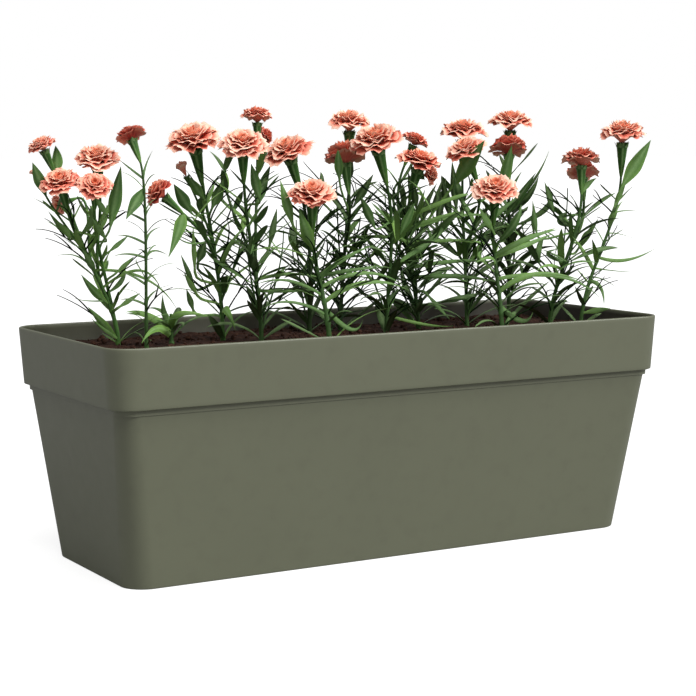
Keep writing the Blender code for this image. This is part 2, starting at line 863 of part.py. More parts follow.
def bloom(name, head, number, look, collection):
    """A bloom: layers of petals round a tight middle, each layer turned half a petal."""
    rng = np.random.default_rng(number)
    across, upright = cross_axes(head.axis)
    count = PETALS * len(PETAL_EDGE)
    turn = np.arange(count) * 2 * np.pi / count + rng.uniform(0, 2 * np.pi)
    circle = np.cos(turn)[:, None] * across + np.sin(turn)[:, None] * upright

    def ring(reach, height):
        reach = np.broadcast_to(reach, count)[:, None] * head.width / 2
        rise = np.broadcast_to(height, count)[:, None] * head.height
        return head.neck + circle * reach + head.axis * rise

    layers = PETAL_LAYERS if head.width > SMALL_BLOOM else PETAL_LAYERS[:1] + PETAL_LAYERS[2:]
    rings = [ring(2 * (head.calyx_radius - BLOOM_SEAT) / head.width, 0.0)]
    for order, (edge, edge_height, crease, crease_height) in enumerate(layers):
        points = len(PETAL_EDGE)
        reaches = np.repeat(rng.uniform(*PETAL_REACH, PETALS), points)
        shape = np.tile(PETAL_EDGE, PETALS) * reaches
        droop = np.repeat(rng.uniform(*PETAL_SAG, PETALS), points) * (1 - SAG_EASE * order)
        uneven = rng.uniform(-EDGE_LIFT, EDGE_LIFT, count)
        lift = droop * np.tile(PETAL_DROOP, PETALS) + uneven
        shift = order % points
        rings.append(ring(edge * np.roll(shape, shift), edge_height + np.roll(lift, shift)))
        if crease:
            rings.append(ring(crease, crease_height))
    tip_height = layers[-1][3] * head.height
    rings.append((head.neck + head.axis * tip_height)[None])
    return loft(name, rings, look, collection)


def leafy_plant(name, plant, shoots, blades, look, collection):
    """A plant's green parts in one solid: stems, branches, calyxes and leaves."""
    root = shoots[0].points[0] - UP * ROOT_DEPTH
    stem_points = np.concatenate((root[None], shoots[0].points))
    stem_radii = np.concatenate((shoots[0].radii[:1], shoots[0].radii))
    stem = tube(f"{name}_stem", stem_points, stem_radii, look, collection)
    pieces = [
        tube(f"{name}_branch", shoot.points, shoot.radii, look, collection) for shoot in shoots[1:]
    ]
    pieces += [calyx(f"{name}_calyx", head, look, collection) for head in plant.heads]
    pieces += [loft(f"{name}_leaf", blade.rings(), look, collection) for blade in blades]
    return combined(name, stem, pieces, "UNION", look, collection)


def clear_scene():
    """Removes every object and empties the collections."""
    for thing in list(bpy.data.objects):
        bpy.data.objects.remove(thing)
    for group in list(bpy.data.collections):
        bpy.data.collections.remove(group)


def main():
    """Builds the planted window box."""
    clear_scene()
    collection = bpy.data.collections.new("planted_window_box")
    bpy.context.scene.collection.children.link(collection)
    plastic = material("sage_plastic", (0.15, 0.158, 0.108), 0.45)
    earth = material("potting_soil", (0.055, 0.026, 0.014), 0.95)
    foliage = material("foliage", (0.06, 0.15, 0.05), 0.5)
    petals = material("petals", (0.80, 0.24, 0.15), 0.6)

    planter_box(plastic, collection)
    soil(earth, collection)

    thicket = Thicket()
    grown = [shoots_of(plant) for plant in PLANTS]
    broad = [
        [broad_leaf(shoots[leaf.stem], leaf) for leaf in plant.broad]
        for plant, shoots in zip(PLANTS, grown)
    ]
    for number, (plant, shoots) in enumerate(zip(PLANTS, grown), 1):
        for shoot in shoots:
            thicket.add_shoot(number, shoot)
        for head in plant.heads:
            thicket.add_head(number, head)
        for blade in broad[number - 1]:
            thicket.add(number, *blade.beads())
    for number, (plant, shoots) in enumerate(zip(PLANTS, grown), 1):
        if plant.heads:
            blades = broad[number - 1] + strap_leaves(number, shoots, thicket)
            name = f"carnation_{number:02d}"
        else:
            blades = tuft_leaves(number, shoots[0], thicket)
            name = f"leaf_tuft_{number:02d}"
        leafy_plant(name, plant, shoots, blades, foliage, collection)
        for order, head in enumerate(plant.heads, 1):
            label = f"bloom_{number:02d}_{order}"
            bloom(label, head, number * 10 + order, petals, collection)


if __name__ == "__main__":
    main()
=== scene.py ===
"""Looks of the planted window box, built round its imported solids.

Lengths are in millimetres until a mesh is made, tones and shares run from 0 to 1, and angles are
in radians unless a name or comment says degrees. +Z is up, +X runs along the trough, -Y is its
front, and the origin is the middle of its base.
"""

import logging
from dataclasses import dataclass, field, replace
from enum import Enum
from itertools import combinations
from typing import Any, Union

import bpy
import numpy as np
from mathutils import Matrix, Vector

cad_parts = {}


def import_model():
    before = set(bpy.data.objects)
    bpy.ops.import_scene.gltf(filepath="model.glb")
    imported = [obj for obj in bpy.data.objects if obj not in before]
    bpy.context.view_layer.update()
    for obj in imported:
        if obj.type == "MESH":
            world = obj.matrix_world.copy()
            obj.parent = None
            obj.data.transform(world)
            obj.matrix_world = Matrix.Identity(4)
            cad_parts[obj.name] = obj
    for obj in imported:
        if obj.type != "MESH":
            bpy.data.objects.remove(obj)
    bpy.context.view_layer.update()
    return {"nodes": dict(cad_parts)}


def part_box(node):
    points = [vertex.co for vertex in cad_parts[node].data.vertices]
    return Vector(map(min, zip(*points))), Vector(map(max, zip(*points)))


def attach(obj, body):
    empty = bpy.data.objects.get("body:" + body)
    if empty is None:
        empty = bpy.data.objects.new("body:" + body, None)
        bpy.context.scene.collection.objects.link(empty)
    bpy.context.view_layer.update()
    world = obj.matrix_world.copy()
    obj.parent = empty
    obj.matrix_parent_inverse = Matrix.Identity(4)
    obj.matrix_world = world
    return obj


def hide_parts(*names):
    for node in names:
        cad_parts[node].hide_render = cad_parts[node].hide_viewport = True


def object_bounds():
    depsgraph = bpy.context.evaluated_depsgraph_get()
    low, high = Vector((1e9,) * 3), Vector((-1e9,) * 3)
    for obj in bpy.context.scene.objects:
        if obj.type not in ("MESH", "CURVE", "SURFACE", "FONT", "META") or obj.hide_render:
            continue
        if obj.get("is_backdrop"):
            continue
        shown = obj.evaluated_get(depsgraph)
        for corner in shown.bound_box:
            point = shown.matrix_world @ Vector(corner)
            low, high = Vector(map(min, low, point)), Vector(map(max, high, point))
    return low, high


LOG = logging.getLogger("window_box")
Array = np.ndarray
MM = 0.001
UP = np.array((0.0, 0.0, 1.0))
BODY = "root"
GOLDEN = (1 + 5**0.5) / 2
STEADY = (0.36, 0.93, 0.1)  # A direction that no bloom faces.
SEEDS_PER_PLANT = 10
SOIL_ROLL = 1.5  # How far the soil's mean height lies below its highest point.
CREASE = 75.0  # The angle between a leaf's or a petal's faces past which its edge stays sharp.


# Arithmetic on arrays


def unit(vectors: Array) -> Array:
    """The vectors at length 1, along their last axis."""
    return vectors / np.linalg.norm(vectors, axis=-1, keepdims=True)


def smooth_step(low: float, high: float, values: Array) -> Array:
    """0 below low, 1 above high, and a smooth S between them."""
    share = np.clip((values - low) / (high - low), 0.0, 1.0)
    return share * share * (3.0 - 2.0 * share)


def bezier(start: Array, leave: Array, arrive: Array, end: Array, count: int) -> Array:
    """Points along the cubic curve of four control points.

    The point at t is their mean, weighted by the four terms of (1 - t) and t multiplied out.

    Args:
        start: Where it starts.
        leave: What it heads for at its start.
        arrive: What it comes from at its end.
        end: Where it ends.
        count: How many points.

    Returns:
        Points (count, 3).
    """
    t = np.linspace(0.0, 1.0, count)[:, None]
    return (
        (1 - t) ** 3 * start
        + 3 * (1 - t) ** 2 * t * leave
        + 3 * (1 - t) * t**2 * arrive
        + t**3 * end
    )


def cross_axes(axis: Array) -> tuple[Array, Array]:
    """Two directions square to the axis and to each other."""
    across = unit(np.cross(axis, STEADY))
    return across, np.cross(axis, across)


# Meshes


class Skin:
    """Collects closed surfaces that become one mesh.

    Each point carries two values that the finishes read: tone, which runs from a finish's deepest
    colour to its brightest, and pale, which brings in its marking.
    """

    def __init__(self) -> None:
        """Starts empty."""
        self.points: list[Array] = []
        self.corners: dict[int, list[Array]] = {3: [], 4: []}
        self.tone: list[Array] = []
        self.pale: list[Array] = []
        self.count = 0

    def add(self, points: Array, faces: tuple[Array, ...], tone: Any, pale: Any = 0.0) -> None:
        """Takes in points (N, 3), the faces on them, and their two values.

        Args:
            points: The points, in millimetres.
            faces: Arrays of corner numbers, each three or four wide.
            tone: One number, or one for each point.
            pale: The same.
        """
        for group in faces:
            self.corners[group.shape[-1]].append(group.reshape(-1, group.shape[-1]) + self.count)
        self.points.append(points.reshape(-1, 3))
        size = len(self.points[-1])
        self.tone.append(np.broadcast_to(np.asarray(tone, float).reshape(-1), size))
        self.pale.append(np.broadcast_to(np.asarray(pale, float).reshape(-1), size))
        self.count += size

    def piece(
        self, name: str, finish: bpy.types.Material, sharp: float = 180.0
    ) -> bpy.types.Object:
        """Makes the collected surfaces one smooth object.

        Args:
            name: The object's name.
            finish: Its material.
            sharp: The angle in degrees past which an edge stays sharp.

        Returns:
            The object, in the scene.
        """
        mesh = bpy.data.meshes.new(name)
        points = np.concatenate(self.points) * MM
        groups = [np.concatenate(found) for found in self.corners.values() if found]
        sizes = np.concatenate([np.full(len(group), group.shape[1]) for group in groups])
        mesh.vertices.add(len(points))
        mesh.vertices.foreach_set("co", points.astype(np.float32).ravel())
        mesh.loops.add(int(sizes.sum()))
        mesh.loops.foreach_set("vertex_index", np.concatenate([g.ravel() for g in groups]))
        mesh.polygons.add(len(sizes))
        mesh.polygons.foreach_set("loop_start", np.concatenate(([0], np.cumsum(sizes)[:-1])))
        mesh.update(calc_edges=True)
        for label, parts in (("tone", self.tone), ("pale", self.pale)):
            layer = mesh.attributes.new(label, "FLOAT", "POINT")
            layer.data.foreach_set("value", np.concatenate(parts).astype(np.float32))
        mesh.shade_smooth()
        if sharp < 180.0:
            mesh.set_sharp_from_angle(angle=np.radians(sharp))
        mesh.materials.append(finish)
        made = bpy.data.objects.new(name, mesh)
        bpy.context.scene.collection.objects.link(made)
        return made


def between_grids(rows: int, columns: int, copies: int) -> Array:
    """Faces of two grids that lie over each other and share their rim.

    Each copy has its upper grid's points row by row, then the lower grid's inner points. The upper
    faces run from row to row and then along the row. The lower ones are turned round.

    Args:
        rows: Points along the first direction.
        columns: Points along the second.
        copies: How many such pairs of grids there are.

    Returns:
        The faces' corners, four each.
    """
    upper = np.arange(rows * columns).reshape(rows, columns)
    lower = upper.copy()
    inner = (rows - 2) * (columns - 2)
    lower[1:-1, 1:-1] = rows * columns + np.arange(inner).reshape(rows - 2, columns - 2)
    sheets = [
        np.stack((grid[:-1, :-1], grid[1:, :-1], grid[1:, 1:], grid[:-1, 1:]), -1)
        for grid in (upper, lower)
    ]
    one = np.concatenate((sheets[0].reshape(-1, 4), sheets[1][..., ::-1].reshape(-1, 4)))
    shift = np.arange(copies) * (rows * columns + inner)
    return (one + shift[:, None, None]).reshape(-1, 4)


def both_sides(over: Array, under: Array) -> Array:
    """Values on the upper grids, then on the lower ones' inner points, for each copy.

    Args:
        over: Values (copies, rows, columns, ...) on the upper grids.
        under: The same on the lower ones.

    Returns:
        Values (copies, points, ...) in the order in which between_grids numbers the points.
    """
    copies = len(over)
    tail = over.shape[3:]
    flat = (over.reshape(copies, -1, *tail), under[:, 1:-1, 1:-1].reshape(copies, -1, *tail))
    return np.concatenate(flat, axis=1)


def thin_solids(grids: Array, thickness: Any) -> tuple[Array, Array]:
    """Each curved grid given a body: moved both ways along its normals, but not at its rim.

    Args:
        grids: Points (copies, rows, columns, 3).
        thickness: One number, or one for each point.

    Returns:
        (points, faces) of the closed solids.
    """
    along = np.gradient(grids, axis=1)
    across = np.gradient(grids, axis=2)
    half = unit(np.cross(along, across)) * np.asarray(thickness)[..., None] / 2
    inside = np.zeros(grids.shape[1:3] + (1,))
    inside[1:-1, 1:-1] = 1.0
    points = both_sides(grids + half * inside, grids - half)
    copies, rows, columns = grids.shape[:3]
    return points, between_grids(rows, columns, copies)


def tubes(paths: Array, radii: Array, sides: int) -> tuple[Array, Array, Array]:
    """Round tubes along paths, each closed at both ends by a fan round its last point.

    Args:
        paths: Points (copies, steps, 3).
        radii: A radius at each point.
        sides: Points round each tube.

    Returns:
        (points, four-cornered faces, three-cornered faces).
    """
    copies, steps = paths.shape[:2]
    ahead = unit(np.gradient(paths, axis=1))
    lie = np.where(np.abs(ahead[:, :1, 1:2]) > 0.8, (1.0, 0.0, 0.2), (0.2, 1.0, 0.1))
    across = unit(np.cross(ahead, np.broadcast_to(lie, ahead.shape)))
    upright = np.cross(ahead, across)
    turn = np.arange(sides) * 2 * np.pi / sides
    round_it = (
        np.cos(turn)[:, None] * across[:, :, None] + np.sin(turn)[:, None] * upright[:, :, None]
    )
    rings = paths[:, :, None] + round_it * radii[:, :, None, None]
    points = np.concatenate((rings.reshape(copies, -1, 3), paths[:, [0, -1]]), axis=1)
    number = np.arange(steps * sides).reshape(steps, sides)
    after = np.roll(number, -1, axis=1)
    walls = np.stack((number[:-1], after[:-1], after[1:], number[1:]), -1).reshape(-1, 4)
    foot = np.stack((after[0], number[0], np.full(sides, steps * sides)), -1)
    tip = np.stack((number[-1], after[-1], np.full(sides, steps * sides + 1)), -1)
    shift = (np.arange(copies) * (steps * sides + 2))[:, None, None]
    return points, walls + shift, np.concatenate((foot, tip)) + shift


# Shader arithmetic


Value = Union["Wire", float, tuple]


class Wire:
    """A shader socket whose arithmetic adds Math nodes."""

    def __init__(self, graph: "Graph", socket: bpy.types.NodeSocket) -> None:
        """Wraps one output socket."""
        self.graph = graph
        self.socket = socket

    def math(self, operation: str, *values: Value) -> "Wire":
        """A Math node of this operation on the values."""
        return self.graph.node("Math", {"operation": operation}, dict(enumerate(values)))

    def __add__(self, other: Value) -> "Wire":
        """Self plus other."""
        return self.math("ADD", self, other)

    def __sub__(self, other: Value) -> "Wire":
        """Self minus other."""
        return self.math("SUBTRACT", self, other)

    def __rsub__(self, other: Value) -> "Wire":
        """Other minus self."""
        return self.math("SUBTRACT", other, self)

    def __mul__(self, other: Value) -> "Wire":
        """Self times other."""
        return self.math("MULTIPLY", self, other)

    __radd__ = __add__
    __rmul__ = __mul__

    def clamped(self, low: float, high: float) -> "Wire":
        """0 below low, 1 above high, and even between them."""
        sockets = {"Value": self, "From Min": low, "From Max": high}
        return self.graph.node("MapRange", {"clamp": True}, sockets)


class Graph:
    """The nodes of one material."""

    def __init__(self, name: str) -> None:
        """Makes the material, with its shader and its object coordinates.

        Args:
            name: The material's name.
        """
        self.material = bpy.data.materials.new(name)
        self.material.use_nodes = True
        self.nodes = self.material.node_tree.nodes
        self.links = self.material.node_tree.links
        self.shader = self.nodes["Principled BSDF"]
        self.place = self.node("TexCoord", {}, {}, "Object")

    def feed(self, socket: bpy.types.NodeSocket, value: Value) -> None:
        """Links a wire to the socket, or sets its number or colour.

        Args:
            socket: An input.
            value: A wire, a number or a colour.
        """
        if isinstance(value, Wire):
            self.links.new(value.socket, socket)
        else:
            socket.default_value = value

    def node(self, kind: str, settings: dict, sockets: dict, output: Any = 0) -> Wire:
        """Adds a node and returns one of its outputs.

        Args:
            kind: The node's type, without its ShaderNode beginning.
            settings: Its properties, set first. A ramp's stops are (place, colour) pairs.
            sockets: The values or wires of its inputs, by name or number.
            output: The output, by name or number.

        Returns:
            That output as a Wire.
        """
        made = self.nodes.new(f"ShaderNode{kind}")
        for key, setting in settings.items():
            if key == "stops":
                for _ in setting[2:]:
                    made.color_ramp.elements.new(0.5)
                for element, (place, colour) in zip(made.color_ramp.elements, setting):
                    element.position = place
                    element.color = (*colour, 1.0)
            else:
                setattr(made, key, setting)
        for key, value in sockets.items():
            self.feed(made.inputs[key], value)
        return Wire(self, made.outputs[output])

    def attribute(self, name: str) -> Wire:
        """A value that each point of the mesh carries."""
        return self.node("Attribute", {"attribute_name": name}, {}, "Fac")

    def noise(self, scale: float, detail: float = 3.0) -> Wire:
        """Soft noise from 0 to 1, fixed to the object."""
        sockets = {"Vector": self.place, "Scale": scale, "Detail": detail}
        return self.node("TexNoise", {}, sockets, "Fac")

    def wander(self, value: Value, amount: float, scale: float) -> Wire:
        """The value moved up and down, by half the amount each way, over soft noise."""
        return value + amount * self.noise(scale) - amount / 2

    def ramp(self, value: Value, stops: tuple) -> Wire:
        """The value turned into a colour through (place, colour) stops."""
        return self.node("ValToRGB", {"stops": stops}, {"Fac": value}, "Color")

    def mixed(self, share: Value, first: Value, second: Value) -> Wire:
        """Two colours blended by a share."""
        sockets = {0: share, 6: first, 7: second}
        return self.node("Mix", {"data_type": "RGBA", "blend_type": "MIX"}, sockets, 2)

    def bump(self, height: Wire, strength: float, distance: float) -> Wire:
        """A normal that follows a height."""
        sockets = {"Height": height, "Strength": strength, "Distance": distance}
        return self.node("Bump", {}, sockets, "Normal")

    def finished(self, **sockets: Value) -> bpy.types.Material:
        """Sets the shader's sockets.

        Args:
            sockets: Their values or wires by name, with underscores for spaces.

        Returns:
            The material.
        """
        for key, value in sockets.items():
            self.feed(self.shader.inputs[key.replace("_", " ")], value)
        return self.material


Colour = tuple[float, float, float]


def opaque(colour: Colour) -> tuple[float, float, float, float]:
    """The colour with full alpha."""
    return (*colour, 1.0)


@dataclass(frozen=True)
class SagePlastic:
    """Moulded plastic in one grey-green, faintly mottled and grained, with painted shade inside.

    In each finish a shift, painted shade or wear is how much a value wanders and its noise's
    scale, and a grain is a bump's strength and distance.
    """

    colour: Colour = (0.117, 0.124, 0.080)
    # The painted shade of the inside walls, where the plants shade them.
    shaded_colour: Colour = (0.030, 0.026, 0.016)
    mottle: tuple[float, float] = (0.94, 1.05)
    mottle_scale: float = 9.0
    painted_shade: tuple[float, float] = (0.3, 70.0)
    roughness: float = 0.44
    wear: tuple[float, float] = (0.08, 60.0)
    grain_scale: float = 900.0
    grain: tuple[float, float] = (0.06, 0.0004)

    def material(self) -> bpy.types.Material:
        """The colour shifts a little over wide noise, and a low tone brings in the painted shade.

        Returns:
            The material.
        """
        graph = Graph("sage_plastic")
        wide = graph.noise(self.mottle_scale)
        fine = graph.noise(self.grain_scale, 2.0)
        darker, lighter = (
            opaque(tuple(part * share for part in self.colour)) for share in self.mottle
        )
        unshaded = graph.mixed(wide, darker, lighter)
        # Painted shade: where the tone is low, the colour turns dark.
        share = graph.wander(graph.attribute("tone"), *self.painted_shade).clamped(0.0, 1.0)
        return graph.finished(
            Base_Color=graph.mixed(share, opaque(self.shaded_colour), unshaded),
            Roughness=graph.wander(self.roughness, *self.wear),
            Normal=graph.bump(fine, *self.grain),
        )


@dataclass(frozen=True)
class PottingSoil:
    """Damp peat: dark, with red-brown fibres and paler crumbs."""

    deep: Colour = (0.016, 0.007, 0.005)
    brown: Colour = (0.036, 0.015, 0.009)
    light: Colour = (0.10, 0.046, 0.027)
    places: tuple[float, float, float] = (0.34, 0.52, 0.72)
    lump_scale: float = 130.0
    grit_scale: float = 700.0
    roughness: float = 0.92
    gloss: float = 0.15
    crumble: tuple[float, float] = (0.8, 0.003)

    def material(self) -> bpy.types.Material:
        """Three browns over two sizes of noise, with a rough bump.

        Returns:
            The material.
        """
        graph = Graph("potting_soil")
        lumps = graph.noise(self.lump_scale, 6.0)
        grit = graph.noise(self.grit_scale, 4.0)
        stops = tuple(zip(self.places, (self.deep, self.brown, self.light)))
        return graph.finished(
            Base_Color=graph.ramp(0.6 * lumps + 0.4 * grit, stops),
            Roughness=self.roughness,
            Specular_IOR_Level=self.gloss,
            Normal=graph.bump(lumps + 0.5 * grit, *self.crumble),
        )


@dataclass(frozen=True)
class CarnationGreen:
    """Leaves, stems and calyxes: blue-green to yellow-green, with pale ribs and margins."""

    deep: Colour = (0.003, 0.012, 0.002)
    middle: Colour = (0.038, 0.108, 0.020)
    bright: Colour = (0.180, 0.335, 0.060)
    bloom: Colour = (0.300, 0.460, 0.190)
    shift: tuple[float, float] = (0.25, 160.0)
    wax_scale: float = 420.0
    roughness: float = 0.50
    wear: tuple[float, float] = (0.16, 300.0)
    gloss: float = 0.10
    grain_scale: float = 800.0
    grain: tuple[float, float] = (0.25, 0.0004)

    def material(self) -> bpy.types.Material:
        """Tone picks the green, noise shifts it, and pale brings in the waxy marking.

        Returns:
            The material.
        """
        graph = Graph("carnation_green")
        tone = graph.wander(graph.attribute("tone"), *self.shift)
        stops = ((0.0, self.deep), (0.5, self.middle), (1.0, self.bright))
        green = graph.ramp(tone, stops)
        pale = graph.attribute("pale") * (0.6 + 0.8 * graph.noise(self.wax_scale))
        return graph.finished(
            Base_Color=graph.mixed(pale.clamped(0.0, 1.0), green, opaque(self.bloom)),
            Roughness=graph.wander(self.roughness, *self.wear),
            Specular_IOR_Level=self.gloss,
            Normal=graph.bump(graph.noise(self.grain_scale), *self.grain),
        )


@dataclass(frozen=True)
class SalmonPetal:
    """Petals: deep coral in the folds, partly their colour and partly painted shade, salmon on the
    blade, peach and cream at the edge.
    """

    # Partly painted shade: the dark coral that the covered folds take.
    fold: Colour = (0.40, 0.035, 0.022)
    coral: Colour = (0.72, 0.165, 0.105)
    salmon: Colour = (0.88, 0.430, 0.305)
    cream: Colour = (0.96, 0.680, 0.540)
    heart: Colour = (0.88, 0.240, 0.070)
    shift: tuple[float, float] = (0.22, 240.0)
    roughness: float = 0.67
    wear: tuple[float, float] = (0.1, 300.0)
    grain_scale: float = 700.0
    grain: tuple[float, float] = (0.3, 0.0005)

    def material(self) -> bpy.types.Material:
        """Tone runs from the fold to the edge, and pale brings in the warm heart.

        Returns:
            The material.
        """
        graph = Graph("salmon_petal")
        tone = graph.wander(graph.attribute("tone"), *self.shift)
        stops = ((0.0, self.fold), (0.3, self.coral), (0.65, self.salmon), (1.0, self.cream))
        blade = graph.ramp(tone, stops)
        return graph.finished(
            Base_Color=graph.mixed(graph.attribute("pale"), blade, opaque(self.heart)),
            Roughness=graph.wander(self.roughness, *self.wear),
            Normal=graph.bump(graph.noise(self.grain_scale), *self.grain),
        )


@dataclass(frozen=True)
class PaleFloor:
    """A plain matt floor that shows white but throws little light back."""

    colour: Colour = (0.30, 0.30, 0.30)
    glow: float = 0.78

    def material(self) -> bpy.types.Material:
        """One even colour, with a glow that only the view of it gets.

        Returns:
            The material.
        """
        graph = Graph("pale_floor")
        seen = graph.node("LightPath", {}, {}, "Is Camera Ray")
        return graph.finished(
            Base_Color=opaque(self.colour),
            Roughness=0.9,
            Emission_Color=opaque((1.0, 1.0, 1.0)),
            Emission_Strength=self.glow * seen,
        )


# The trough and its soil


@dataclass(frozen=True)
class Section:
    """A level rounded rectangle of the trough."""

    height: float
    half_length: float
    half_width: float
    corner: float

    def inside(self, inset: float, height: float) -> "Section":
        """The same outline, smaller all round.

        Args:
            inset: How much smaller.
            height: Its own height.

        Returns:
            The new section.
        """
        return Section(
            height, self.half_length - inset, self.half_width - inset, self.corner - inset
        )

    def outline(self, corner_points: int, support: float) -> Array:
        """Its points, anticlockwise: four quarter circles joined by straight sides.

        Args:
            corner_points: Points on each quarter circle.
            support: How far from each corner a side has its extra points, which keep it flat.

        Returns:
            Points (N, 3).
        """
        quarter = np.linspace(0.0, np.pi / 2, corner_points)
        turns = np.arange(4)[:, None] * np.pi / 2 + quarter
        signs = np.array(((1, 1), (-1, 1), (-1, -1), (1, -1)))
        middle = signs * (self.half_length - self.corner, self.half_width - self.corner)
        circles = np.stack((np.cos(turns), np.sin(turns)), -1)
        arcs = circles * self.corner + middle[:, None]
        ahead = unit(np.roll(arcs[:, 0], -1, axis=0) - arcs[:, -1])
        behind = unit(np.roll(arcs[:, -1], 1, axis=0) - arcs[:, 0])
        before = arcs[:, :1] + behind[:, None] * support
        after = arcs[:, -1:] + ahead[:, None] * support
        flat = np.concatenate((before, arcs, after), axis=1).reshape(-1, 2)
        return np.column_stack((flat, np.full(len(flat), self.height)))


def loft(rings: Array) -> tuple[Array, Array]:
    """Joins rings into four-cornered faces, the last ring to the first as well.

    Args:
        rings: Points (steps, around, 3), each ring closed on itself.

    Returns:
        (the points, faces (steps, around, 4)).
    """
    steps, around = rings.shape[:2]
    number = np.arange(steps * around).reshape(steps, around)
    up = np.roll(number, -1, axis=0)
    corners = (number, np.roll(number, -1, axis=1), np.roll(up, -1, axis=1), up)
    return rings, np.stack(corners, -1)


@dataclass(frozen=True)
class Trough:
    """The moulded trough, with its rounded edges drawn finer than in its solid."""

    rim_height: float = 54.0
    rim_draft: float = 3.5
    rim_step: float = 5.0
    undercut: float = 0.35
    neck_height: float = 4.0
    neck_draft: float = 0.2
    neck_step: float = 1.0
    neck_slope: float = 0.3
    wall: float = 3.0
    floor: float = 4.0
    rim_corner: float = 25.0
    body_corner: float = 19.0
    base_corner: float = 24.0
    base_length: float = 550.0
    base_width: float = 184.0
    edge: float = 1.4
    edge_turns: tuple[float, ...] = (0.0, 22.0, 45.0, 68.0, 90.0)
    body_shares: tuple[float, ...] = (0.012, 0.5, 0.985)
    floor_edge: float = 2.0
    corner_points: int = 18
    support: float = 3.0
    # Painted shade inside: the tones of the lowest rings, darkened further towards +X.
    painted_shade: tuple[float, ...] = (0.5, 0.1, 0.0, 0.0, 0.0)
    shade_start: float = -280.0
    shade_span: float = 380.0
    shade_depth: float = 0.95
    sharp: float = 45.0

    def sections(self) -> list[Section]:
        """Lists the outside from the base to the lip, then the inside down to the floor.

        The base's edge and the lip turn through quarter circles. Extra sections beside each step
        keep the walls between them flat.

        Returns:
            The sections, in order.
        """
        low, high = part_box("planter_box")
        half_length = (high.x - low.x) / MM / 2
        half_width = (high.y - low.y) / MM / 2
        top = high.z / MM
        base = Section(self.edge, self.base_length / 2, self.base_width / 2, self.base_corner)
        rim = Section(top - self.edge, half_length, half_width, self.rim_corner)
        foot = rim.inside(self.rim_draft, top - self.rim_height)
        neck = foot.inside(self.rim_step, foot.height - self.rim_step * self.undercut)
        neck_foot = neck.inside(self.neck_draft, neck.height - self.neck_height)
        under = neck_foot.inside(self.neck_step, neck_foot.height - self.neck_slope)
        body = Section(under.height, under.half_length, under.half_width, self.body_corner)
        turn = np.radians(self.edge_turns)
        rounded = self.edge * (1 - np.cos(turn))
        rising = self.edge * np.sin(turn)
        upwards = range(len(turn))
        outside = [base.inside(rounded[-1 - k], self.edge - rising[-1 - k]) for k in upwards]
        outside += [self.between(base, body, share) for share in self.body_shares]
        outside += [body, neck_foot, self.between(neck_foot, neck, 0.8), neck]
        outside += [foot.inside(0.9, foot.height - 0.3), foot.inside(0.2, foot.height)]
        outside += [foot.inside(0.0, foot.height + 0.8), self.between(foot, rim, 0.06)]
        outside += [self.between(foot, rim, 0.95), rim]
        lip = [rim.inside(rounded[k], rim.height + rising[k]) for k in upwards[1:]]
        mouth = rim.inside(self.wall, rim.height)
        inner_lip = [mouth.inside(-rounded[k], rim.height + rising[k]) for k in upwards[::-1]]
        inside = [
            mouth.inside(0.1, rim.height - 3),
            foot.inside(self.wall, foot.height + self.wall),
            body.inside(self.wall, body.height - self.wall),
            base.inside(self.wall, self.floor + self.floor_edge),
            base.inside(self.wall + self.floor_edge, self.floor),
        ]
        return outside + lip + inner_lip + inside

    @staticmethod
    def between(low: Section, high: Section, share: float) -> Section:
        """The section this share of the way from one to another."""
        ends = [(s.height, s.half_length, s.half_width, s.corner) for s in (low, high)]
        return Section(*(np.array(ends[0]) * (1 - share) + np.array(ends[1]) * share))

    def build(self, finish: bpy.types.Material) -> bpy.types.Object:
        """Lofts the sections, and closes them under the base and over the floor by flat fans.

        The tone is 1 where the plastic is unshaded. Near the floor it falls as painted shade, more
        towards one end.

        Args:
            finish: The plastic.

        Returns:
            The piece, in place of its solid.
        """
        rings = np.stack([s.outline(self.corner_points, self.support) for s in self.sections()])
        skin = Skin()
        points, faces = loft(rings)
        # Painted shade: the lowest rings, inside the trough, darken, and more so towards +X.
        lowest = len(self.painted_shade)
        along = (rings[-lowest:, :, 0] - self.shade_start) / self.shade_span
        unshaded = np.ones(rings.shape[:2])
        unshaded[-lowest:] = np.array(self.painted_shade)[:, None]
        unshaded[-lowest:] *= 1 - self.shade_depth * np.clip(along, 0.0, 1.0)
        skin.add(points, (faces[:-1],), unshaded)
        around = rings.shape[1]
        last = (len(rings) - 1) * around
        for start, ring, step in ((0, rings[0], -1), (last, rings[-1], 1)):
            # A fan's centre is its only new point, so its other corners count back from it.
            number = np.arange(around)[::step] + start - skin.count
            fan = np.stack((number, np.roll(number, -1), np.zeros(around, int)), -1)
            skin.add(ring.mean(axis=0)[None], (fan,), 1.0)
        piece = skin.piece("trough", finish, self.sharp)
        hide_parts("planter_box")
        return piece


